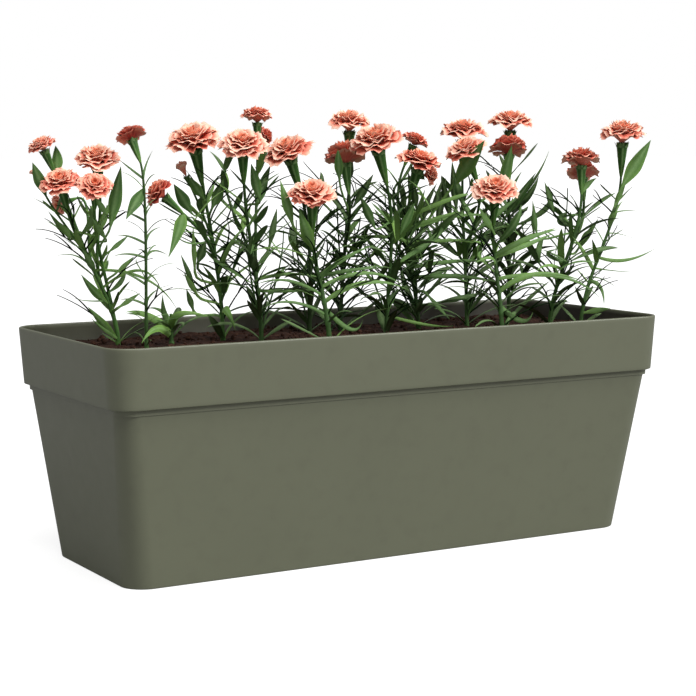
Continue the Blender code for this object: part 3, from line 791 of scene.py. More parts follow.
@dataclass(frozen=True)
class SoilBed:
    """The soil's uneven top with crumbs lying on it."""

    wall_gap: float = 3.3
    columns: int = 260
    rows: int = 96
    depth: float = 12.0
    corner: float = 20.0
    crumbs: int = 900
    crumb_gap: float = 5.0
    seed: int = 5

    def height(self, x: Array, y: Array, top: float) -> Array:
        """Sums sines of three sizes, so that the soil rolls and is lumpy and grainy.

        Each size is a product of a sine along and one across, whose phases wander with the other.

        Args:
            x: Places along the trough.
            y: Places across it.
            top: The mean height.

        Returns:
            Heights.
        """
        roll = np.sin(x / 23 + y / 17) * np.cos(y / 13 - x / 41)
        lumps = np.sin(x / 5.1 + 2 * np.sin(y / 7)) * np.sin(y / 4.3 + 1.7 * np.sin(x / 9))
        grains = np.sin(x / 1.9 + 3 * np.sin(y / 3.1)) * np.sin(y / 1.7 + 2 * np.sin(x / 2.7))
        return top + 1.4 * roll + 0.9 * lumps + 0.35 * grains

    def build(self, finish: bpy.types.Material) -> bpy.types.Object:
        """Makes a grid whose rows narrow round the corners, over a flat one, with crumbs on top.

        Args:
            finish: The soil.

        Returns:
            The piece, in place of its solid.
        """
        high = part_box("soil")[1]
        top = high.z / MM - SOIL_ROLL
        length = high.x / MM - self.wall_gap
        width = high.y / MM - self.wall_gap
        u = np.linspace(-1.0, 1.0, self.columns)
        v = np.linspace(-1.0, 1.0, self.rows)
        x = np.repeat((u * length)[:, None], self.rows, axis=1)
        past = np.clip(np.abs(x) - (length - self.corner), 0.0, self.corner)
        reach = width - self.corner + np.sqrt(self.corner**2 - past**2)
        y = v * reach
        upper = np.stack((x, y, self.height(x, y, top)), -1)
        lower = upper.copy()
        lower[..., 2] = top - self.depth
        skin = Skin()
        faces = between_grids(self.columns, self.rows, 1)
        skin.add(both_sides(upper[None], lower[None]), (faces,), 0.5)
        self.scatter(skin, length, width, top)
        piece = skin.piece("soil_bed", finish)
        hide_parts("soil")
        return piece

    def scatter(self, skin: Skin, length: float, width: float, top: float) -> None:
        """Adds small lumps: twenty-sided balls whose points are pushed in and out at random.

        Args:
            skin: What takes them.
            length: Half the bed's length.
            width: Half its width.
            top: Its mean height.
        """
        rng = np.random.default_rng(self.seed)
        ball = np.array([(0, a, b * GOLDEN) for a in (-1, 1) for b in (-1, 1)])
        ball = unit(np.concatenate((ball, np.roll(ball, 1, axis=1), np.roll(ball, 2, axis=1))))
        apart = np.linalg.norm(ball[:, None] - ball[None], axis=-1)
        near = (apart > 0.1) & (apart < 1.2)
        corners = np.array(
            [
                (a, b, c)
                for a, b, c in combinations(range(len(ball)), 3)
                if near[a, b] and near[b, c] and near[a, c]
            ]
        )
        middle = ball[corners]
        normal = np.cross(middle[:, 1] - middle[:, 0], middle[:, 2] - middle[:, 0])
        inward = (normal * middle.mean(axis=1)).sum(axis=1) < 0
        corners[inward] = corners[inward][:, ::-1]
        x = rng.uniform(-1, 1, self.crumbs) * (length - self.crumb_gap)
        y = rng.uniform(-1, 1, self.crumbs) * (width - self.crumb_gap)
        size = rng.gamma(3.0, 0.45, self.crumbs) + 0.5
        place = np.stack((x, y, self.height(x, y, top) + size * 0.35), -1)
        shape = ball * rng.uniform(0.7, 1.2, (self.crumbs, len(ball), 1)) * size[:, None, None]
        shape = shape * rng.uniform(0.6, 1.2, (self.crumbs, 1, 3))
        shift = np.arange(self.crumbs)[:, None, None] * len(ball)
        skin.add(place[:, None] + shape, (corners + shift,), 0.5)


# The flowers


@dataclass(frozen=True)
class Head:
    """A bloom's place: the middle of its neck, the way it faces, its width and its dome."""

    neck: Array
    axis: Array
    width: float
    dome: float

    @classmethod
    def of_node(cls, node: bpy.types.Object) -> "Head":
        """Reads the bloom's solid, whose flat foot is its largest group of level triangles.

        The foot's middle is the neck, its normal turned round is the axis, and its radius gives
        the width by the calyx's proportions.

        Args:
            node: The bloom's solid.

        Returns:
            Its place.
        """
        mesh = node.data
        mesh.calc_loop_triangles()
        points = np.empty(len(mesh.vertices) * 3, np.float32)
        mesh.vertices.foreach_get("co", points)
        points = points.reshape(-1, 3).astype(float) / MM
        faces = np.empty(len(mesh.loop_triangles) * 3, np.int32)
        mesh.loop_triangles.foreach_get("vertices", faces)
        faces = faces.reshape(-1, 3)
        corners = points[faces]
        normal = unit(np.cross(corners[:, 1] - corners[:, 0], corners[:, 2] - corners[:, 0]))
        _, group, count = np.unique(
            np.round(normal, 3), axis=0, return_inverse=True, return_counts=True
        )
        foot = group.reshape(-1) == count.argmax()
        ring = np.unique(np.round(points[faces[foot].ravel()], 3), axis=0)
        neck = ring.mean(axis=0)
        axis = -unit(normal[foot].mean(axis=0))
        radius = np.linalg.norm(ring - neck, axis=1).mean()
        width = (radius + 1.0 - Calyx.radius[0]) / Calyx.radius[1]
        return cls(neck, axis, float(width), float(((points - neck) @ axis).max()))


@dataclass(frozen=True)
class Whorl:
    """One ring of petals.

    The reach is a share of half the bloom's width, the height and ruffle are shares of its dome,
    the slope is the rise of the petal's edge from level and the spread half its width, in degrees.
    """

    count: int
    reach: float
    height: float
    slope: float
    spread: float
    ruffle: float


# Painted shade: how much darker and redder than usual the blooms that stand in others' shade, or
# face away, are.
BLOOM_SHADES = {
    "bloom_01_1": 0.12,
    "bloom_01_4": 0.20,
    "bloom_01_5": 0.28,
    "bloom_02_1": 0.34,
    "bloom_03_2": 0.28,
    "bloom_04_2": 0.20,
    "bloom_04_3": 0.36,
    "bloom_08_2": 0.24,
    "bloom_09_1": 0.18,
    "bloom_09_2": 0.24,
    "bloom_09_3": 0.22,
    "bloom_11_2": 0.28,
    "bloom_13_1": 0.18,
    "bloom_13_2": 0.30,
}


@dataclass(frozen=True)
class Play:
    """How far a whorl's petals differ, either way.

    The turn is in radians, the slope in degrees, the height a share of the dome, and the others
    are shares of the petal's own measure. The tooth is the range of a tooth's depth.
    """

    turn: float = 0.12
    spread: float = 0.15
    length: float = 0.06
    reach: float = 0.08
    height: float = 0.035
    slope: float = 9.0
    tone: float = 0.08
    tooth: tuple[float, float] = (0.3, 1.4)


@dataclass(frozen=True)
class Bloom:
    """A double carnation: whorls of broad petals with toothed edges, tightest in the middle."""

    whorls: tuple[Whorl, ...] = (
        Whorl(5, 1.10, 0.28, -14, 44, 0.09),
        Whorl(6, 1.00, 0.45, -6, 42, 0.09),
        Whorl(5, 0.87, 0.61, 2, 48, 0.09),
        Whorl(5, 0.70, 0.74, 10, 50, 0.08),
        Whorl(5, 0.52, 0.83, 20, 50, 0.06),
        Whorl(4, 0.35, 0.89, 36, 60, 0.05),
        Whorl(3, 0.17, 0.90, 60, 80, 0.03),
    )
    play: Play = Play()
    droop: float = 17.0
    nodding: float = 0.92
    small_width: float = 20.0
    fullness: float = 1.04
    foot: float = 0.05
    steps: tuple[float, ...] = (0.0, 0.34, 0.6, 0.8, 0.93, 1.0)
    columns: int = 11
    thickness: float = 0.5
    bite: float = 0.09
    corner_cut: float = 0.12
    cupping: float = 0.10

    def petals(self, head: Head, whorl: Whorl, rng: np.random.Generator) -> tuple[Array, Array]:
        """One whorl's petals.

        A petal's blade runs from the neck to its edge along a quadratic curve whose last leg has
        the whorl's slope, and turns about the bloom's axis across its width. Every other point of
        its edge is drawn in as a tooth, its far corners are rounded, and a wave across its width
        lifts and lowers it, more towards the edge.

        Args:
            head: The bloom's place.
            whorl: Which ring of petals.
            rng: The bloom's own random numbers.

        Returns:
            (grids of points, distances from the axis as shares of half the width).
        """
        count, play = whorl.count, self.play
        u = np.array(self.steps)[None, :, None]
        v = np.linspace(-1.0, 1.0, self.columns)[None, None, :]
        own = rng.uniform(-1.0, 1.0, (8, count, 1, 1))
        turned, wider, longer, farther, higher, steeper, closer, later = own
        turn = np.arange(count)[:, None, None] * 2 * np.pi / count + turned * play.turn
        turn = turn + rng.uniform(0, 2 * np.pi)
        half = np.radians(whorl.spread) * (1 + play.spread * wider)
        tooth = self.bite * rng.uniform(*play.tooth, (count, 1, self.columns))
        tooth = tooth * (np.arange(self.columns) % 2 == 1)
        tooth = tooth + self.corner_cut * np.abs(v) ** 3.5
        shrink = (1.0 + play.length * longer) * (1.0 - tooth * u**4)
        size = head.width / 2
        reach = whorl.reach * size * (1 + play.reach * farther)
        rise = (whorl.height + play.height * higher) * head.dome
        slope = np.radians(whorl.slope + play.slope * steeper)
        foot = self.foot * head.width
        leg = 0.5 * (reach - foot) + 0.12 * size
        knee_out = np.maximum(reach - leg * np.cos(slope), foot * 0.6)
        knee_up = rise - leg * np.sin(slope)
        t = u * shrink
        radius = foot * (1 - t) ** 2 + 2 * t * (1 - t) * knee_out + t**2 * reach
        height = 2 * t * (1 - t) * knee_up + t**2 * rise
        wave = np.sin((2.2 + closer) * v * 2 + 3 * later) + 0.5 * np.sin(9 * v + 3 * longer)
        height = height + whorl.ruffle * head.dome * u**2 * wave
        height = height + self.cupping * head.dome * u**2 * (v**2 - 0.4) * np.cos(slope)
        angle = turn + half * v * (0.8 + 0.2 * u)
        across, upright = cross_axes(head.axis)
        level = np.cos(angle)[..., None] * across + np.sin(angle)[..., None] * upright
        lifted = np.maximum(height, 0.01 * head.dome)[..., None]
        grid = head.neck + level * radius[..., None] + head.axis * lifted
        return grid, np.broadcast_to(radius / size, grid.shape[:-1])

    def grow(self, skin: Skin, head: Head, seed: int, bloom_shade: float) -> None:
        """Adds every whorl. The next one in shades the part of each petal that it covers, as
        painted shade.

        The outer whorls hang lower on a bloom that stands level than on one that nods, and a
        small bloom has only the inner ones.

        Args:
            skin: What takes the petals.
            head: The bloom's place.
            seed: The seed of its own random numbers.
            bloom_shade: How much darker and redder than usual it is painted, as painted shade.
        """
        rng = np.random.default_rng(seed)
        whorls = self.whorls if head.width > self.small_width else self.whorls[3:]
        scale = self.fullness / whorls[0].reach
        level = smooth_step(self.nodding, 1.0, head.axis[2])
        for order, whorl in enumerate(whorls):
            slope = whorl.slope - self.droop * level * max(0.0, 1 - order / 3)
            grown = replace(whorl, reach=whorl.reach * scale, slope=slope)
            grids, reach = self.petals(head, grown, rng)
            points, faces = thin_solids(grids, np.full(grids.shape[:-1], self.thickness))
            # Painted shade: a petal is darker where the next whorl in covers it, darker underneath
            # towards its foot, and darker all over by the bloom's shade.
            covered = whorls[min(order + 1, len(whorls) - 1)].reach * scale
            own = rng.uniform(-self.play.tone, self.play.tone, (len(grids), 1, 1)) - bloom_shade
            band = grown.reach - covered if order + 1 < len(whorls) else grown.reach
            shown = smooth_step(covered - 0.3 * band, covered + 0.55 * band, reach)
            along = self.along(len(grids))
            over = 0.34 + 0.54 * shown + own
            under = 0.40 + 0.46 * smooth_step(0.45, 0.95, along) + own
            warm = np.full(over.shape, 0.5 * (order / len(whorls)) ** 2)
            skin.add(points, (faces,), both_sides(over, under), both_sides(warm, warm))

    def along(self, count: int) -> Array:
        """How far each point of a whorl's grids is from the foot to the edge, from 0 to 1."""
        steps = np.array(self.steps)[None, :, None]
        return np.broadcast_to(steps, (count, len(self.steps), self.columns))

    def build(self, name: str, head: Head, seed: int, finish: bpy.types.Material) -> None:
        """Makes the bloom one piece in place of its solid.

        Args:
            name: The solid's name.
            head: The bloom's place.
            seed: The seed of its own random numbers.
            finish: The petals' finish.
        """
        skin = Skin()
        # Blooms that stand in others' shade get painted shade.
        self.grow(skin, head, seed, BLOOM_SHADES.get(name, 0.0))
        piece = skin.piece(name.replace("bloom", "petals"), finish, CREASE)
        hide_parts(name)
        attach(piece, BODY)


# The plants


class Calyx:
    """The green cup under a bloom.

    Its radius and length are a number and a share of the bloom's width. Its tone is the rim's and
    what its foot adds, so that it is darker towards the rim: painted shade under the petals. A
    tooth's pairs are its start and how far it goes, or its width and what is left at its tip.
    """

    radius = (1.8, 0.09)
    length = (4.0, 0.66)
    gap = 0.35
    shares = (0.0, 0.1, 0.25, 0.42, 0.6, 0.78, 0.92, 1.0)
    girth = (0.24, 0.36, 0.5, 0.64, 0.76, 0.88, 0.98, 1.0)
    sides = 20
    sides_per_rib = 4
    rib_pale = 0.42
    tone = (0.32, 0.35)
    end_tone = 0.3
    teeth = 5
    tooth_steps = 5
    tooth_out = (0.97, 0.42)
    tooth_up = (0.86, 0.95)
    tooth_width = (1.15, 0.15)
    tooth_tone = 0.25

    def __init__(self, head: Head) -> None:
        """Measures the cup from its bloom.

        Args:
            head: The bloom's place.
        """
        self.head = head
        self.reach = self.radius[0] + head.width * self.radius[1]
        self.height = self.length[0] + head.width * self.length[1]
        self.foot = head.neck - head.axis * (self.gap + self.height)

    def grow(self, skin: Skin, rng: np.random.Generator) -> None:
        """Adds a turned cup with faint ribs, and pointed teeth that hold the petals.

        Args:
            skin: What takes it.
            rng: The plant's random numbers.
        """
        share = np.array(self.shares)
        path = self.foot + self.head.axis * share[:, None] * self.height
        radii = np.array(self.girth) * self.reach
        points, walls, ends = tubes(path[None], radii[None], self.sides)
        turn = np.arange(self.sides)
        rib = np.where(turn % self.sides_per_rib == 0, self.rib_pale, 0.0)
        stripe = rib * np.ones((len(share), 1))
        # Painted shade: the cup darkens towards its rim, under the petals.
        rim, added = self.tone
        tone = rim + added * (1 - share)[:, None] + np.zeros((1, self.sides))
        tone = np.append(tone.ravel(), (self.end_tone, self.end_tone))
        skin.add(points, (walls, ends), tone, np.append(stripe.ravel(), (0.0, 0.0)))
        across, upright = cross_axes(self.head.axis)
        angle = np.arange(self.teeth)[:, None] * 2 * np.pi / self.teeth + rng.uniform(0, 2)
        level = np.cos(angle) * across + np.sin(angle) * upright
        t = np.linspace(0, 1, self.tooth_steps)
        out = self.reach * (self.tooth_out[0] + self.tooth_out[1] * t**1.6)
        up = self.height * self.tooth_up[0] + self.reach * self.tooth_up[1] * t
        spine = self.foot + level[:, None] * out[:, None] + self.head.axis * up[:, None]
        side = np.cross(self.head.axis, level)[:, None] * np.ones((1, self.tooth_steps, 1))
        full, tip = self.tooth_width
        width = (self.reach * full * (1 - t**1.5) + tip) * np.ones((self.teeth, 1))
        tone = np.full(self.teeth, self.tooth_tone)
        Blades(spine, side, width, tone, thickness=0.5, columns=3, fold=0.2).grow(skin)


@dataclass
class Blades:
    """Many leaves at once: midlines, the way their width runs, widths and colours."""

    spine: Array
    side: Array
    width: Array
    tone: Array
    thickness: float
    columns: int
    fold: float
    pale: float = 0.3
    under: float = 0.12

    def grow(self, skin: Skin) -> None:
        """Adds them. Each cross-section is a shallow V, with a pale rib and margins.

        A blade thins and darkens towards its tip, and its underside is darker and paler-veined.

        Args:
            skin: What takes them.
        """
        v = np.linspace(-1.0, 1.0, self.columns)
        ahead = np.gradient(self.spine, axis=1)
        over = unit(np.cross(ahead, self.side))
        half = (self.width / 2)[..., None, None]
        lift = self.fold * np.abs(v)[:, None]
        out = v[:, None] * self.side[:, :, None] + lift * over[:, :, None]
        grids = self.spine[:, :, None] + out * half
        steps = np.linspace(0.0, 1.0, self.spine.shape[1])[None, :, None]
        thin = self.thickness * (1.0 - 0.6 * steps) * (1 - 0.5 * np.abs(v))
        points, faces = thin_solids(grids, np.broadcast_to(thin, grids.shape[:-1]))
        tone = self.tone[:, None, None] + 0.25 * (0.4 - steps) + 0.1 * np.abs(v)
        pale = self.pale * (np.abs(v) < 0.1) + 0.4 * self.pale * (np.abs(v) > 0.9)
        tone = np.broadcast_to(tone, grids.shape[:-1])
        pale = np.broadcast_to(pale, grids.shape[:-1])
        tones = both_sides(tone, tone - self.under)
        skin.add(points, (faces,), tones, both_sides(pale, pale + self.under))


class Shoot:
    """A stem or branch: a line of points with a radius at each."""

    steps = 48
    joint_reach = 1.8
    swelling = 0.3

    def __init__(self, points: Array, foot_radius: float, top_radius: float) -> None:
        """Measures the line.

        Args:
            points: The line (N, 3).
            foot_radius: Its radius at its foot, which tapers evenly.
            top_radius: Its radius at its top.
        """
        self.points = points
        self.radii = np.linspace(foot_radius, top_radius, len(points))
        steps = np.linalg.norm(np.diff(points, axis=0), axis=1)
        self.travelled = np.concatenate(([0.0], np.cumsum(steps)))
        self.length = float(self.travelled[-1])

    def at(self, shares: Array) -> tuple[Array, Array, Array]:
        """Reads the shoot at shares of its length.

        Args:
            shares: The shares, from 0 to 1.

        Returns:
            (points, directions, radii).
        """
        place = np.clip(shares, 0.0, 1.0) * self.length
        point = np.stack([np.interp(place, self.travelled, c) for c in self.points.T], -1)
        slope = unit(np.gradient(self.points, self.travelled, axis=0))
        ahead = unit(np.stack([np.interp(place, self.travelled, c) for c in slope.T], -1))
        return point, ahead, np.interp(place, self.travelled, self.radii)

    def at_height(self, height: float) -> tuple[Array, Array, float]:
        """Reads the shoot where it reaches a height.

        Args:
            height: The height.

        Returns:
            (point, direction, radius).
        """
        share = np.interp(height, self.points[:, 2], self.travelled / self.length)
        point, ahead, radius = self.at(np.array([share]))
        return point[0], ahead[0], float(radius[0])

    def grow(self, skin: Skin, joints: Array, tone: float, sides: int = 8) -> None:
        """Adds a tube that swells at each joint as a bell curve of the distance from it.

        Args:
            skin: What takes it.
            joints: The joints' shares of the length.
            tone: Its tone.
            sides: Points round it.
        """
        place = np.linspace(0.0, 1.0, self.steps)
        point, _, radius = self.at(place)
        offset = (place[:, None] - joints[None]) * self.length / self.joint_reach
        swell = 1 + self.swelling * np.exp(-(offset**2)).max(axis=1, initial=0.0)
        points, walls, ends = tubes(point[None], (radius * swell)[None], sides)
        streak = 0.5 + 0.5 * np.cos(np.arange(sides) * 2 * np.pi / sides * 2)
        tones = tone + 0.25 * streak * np.ones((self.steps, 1)) + 0.5 * (swell[:, None] - 1)
        tones = np.append(tones.ravel(), (tone, tone))
        skin.add(points, (walls, ends), tones, 0.08)


class Shape(Enum):
    """A leaf's outline: where it starts to widen, is full and starts to taper, and its fold."""

    LANCE = (-0.14, 0.45, 0.42, 0.16)
    STRAP = (-0.60, 0.25, 0.30, 0.30)
    WISP = (-2.00, 0.00, 0.20, 0.20)

    def width(self, t: Array) -> Array:
        """The width along the leaf: an S up, then a curved taper to the tip.

        Args:
            t: Shares of the leaf's length.

        Returns:
            Shares of its full width.
        """
        start, full, taper, _ = self.value
        fade = 1 - np.clip((t - taper) / (1 - taper), 0.0, 1.0) ** 1.5
        return smooth_step(start, full, t) * fade


@dataclass(frozen=True)
class KeyLeaf:
    """A leaf from a height on one of the plant's stems, past a point, to its tip."""

    stem: int
    height: float
    past: tuple[float, float, float]
    tip: tuple[float, float, float]
    width: float
    shape: Shape = Shape.STRAP
    # Its green, set to how bright the leaf shows, so partly painted light and shade.
    tone: float = 0.55


@dataclass(frozen=True)
class Manner:
    """How leaves stand. Pairs of numbers are at the soil and at the top, but for the rise.

    The rise is the range of the angle from upright at the leaf's foot, and the fall the angle at
    its tip, in radians, which the spread changes by that share either way.
    """

    spacing: float
    length: tuple[float, float]
    width: tuple[float, float]
    rise: tuple[float, float]
    fall: tuple[float, float]
    spread: float


class Habit(Enum):
    """The plants' manners, by how dense and how wide they stand."""

    UPRIGHT = Manner(23.0, (38.0, 32.0), (6.4, 5.4), (0.5, 0.9), (1.2, 0.8), 0.3)
    LEAFY = Manner(22.0, (58.0, 44.0), (7.0, 6.2), (0.45, 0.95), (1.6, 1.05), 0.35)
    SPREADING = Manner(20.0, (84.0, 50.0), (5.4, 4.8), (0.6, 1.1), (1.85, 1.3), 0.3)
    SPARSE = Manner(32.0, (34.0, 28.0), (5.4, 4.8), (0.45, 0.85), (1.2, 0.8), 0.3)
    WIRY = Manner(21.0, (34.0, 30.0), (1.5, 1.3), (0.55, 0.75), (1.75, 1.5), 0.1)


@dataclass(frozen=True)
class Growth:
    """What the solids don't say of a plant.

    Args:
        forks: Where each branch leaves the main stem, as a share of its length.
        thickness: The main stem's thickness, where 1 is usual.
        nod: How far below a bloom its stem bends over, where 1 is a third of the stem.
        habit: How its leaves stand.
        sprigs: How many leafy side shoots without a bloom it has.
        straps: How many long leaves arch over from low on it.
        wires: How many thin twigs it has.
        shade: How much darker its greens are, as painted shade for plants that stand back or in
            the thick of the others; below 0 they are lighter, as painted light.
        leaves: The leaves that stand out.
    """

    forks: tuple[float, ...] = ()
    thickness: float = 1.0
    nod: float = 1.0
    habit: Habit = Habit.LEAFY
    sprigs: int = 3
    straps: int = 5
    wires: int = 13
    shade: float = 0.0
    leaves: tuple[KeyLeaf, ...] = ()


LANCE, STRAP, WISP = Shape.LANCE, Shape.STRAP, Shape.WISP

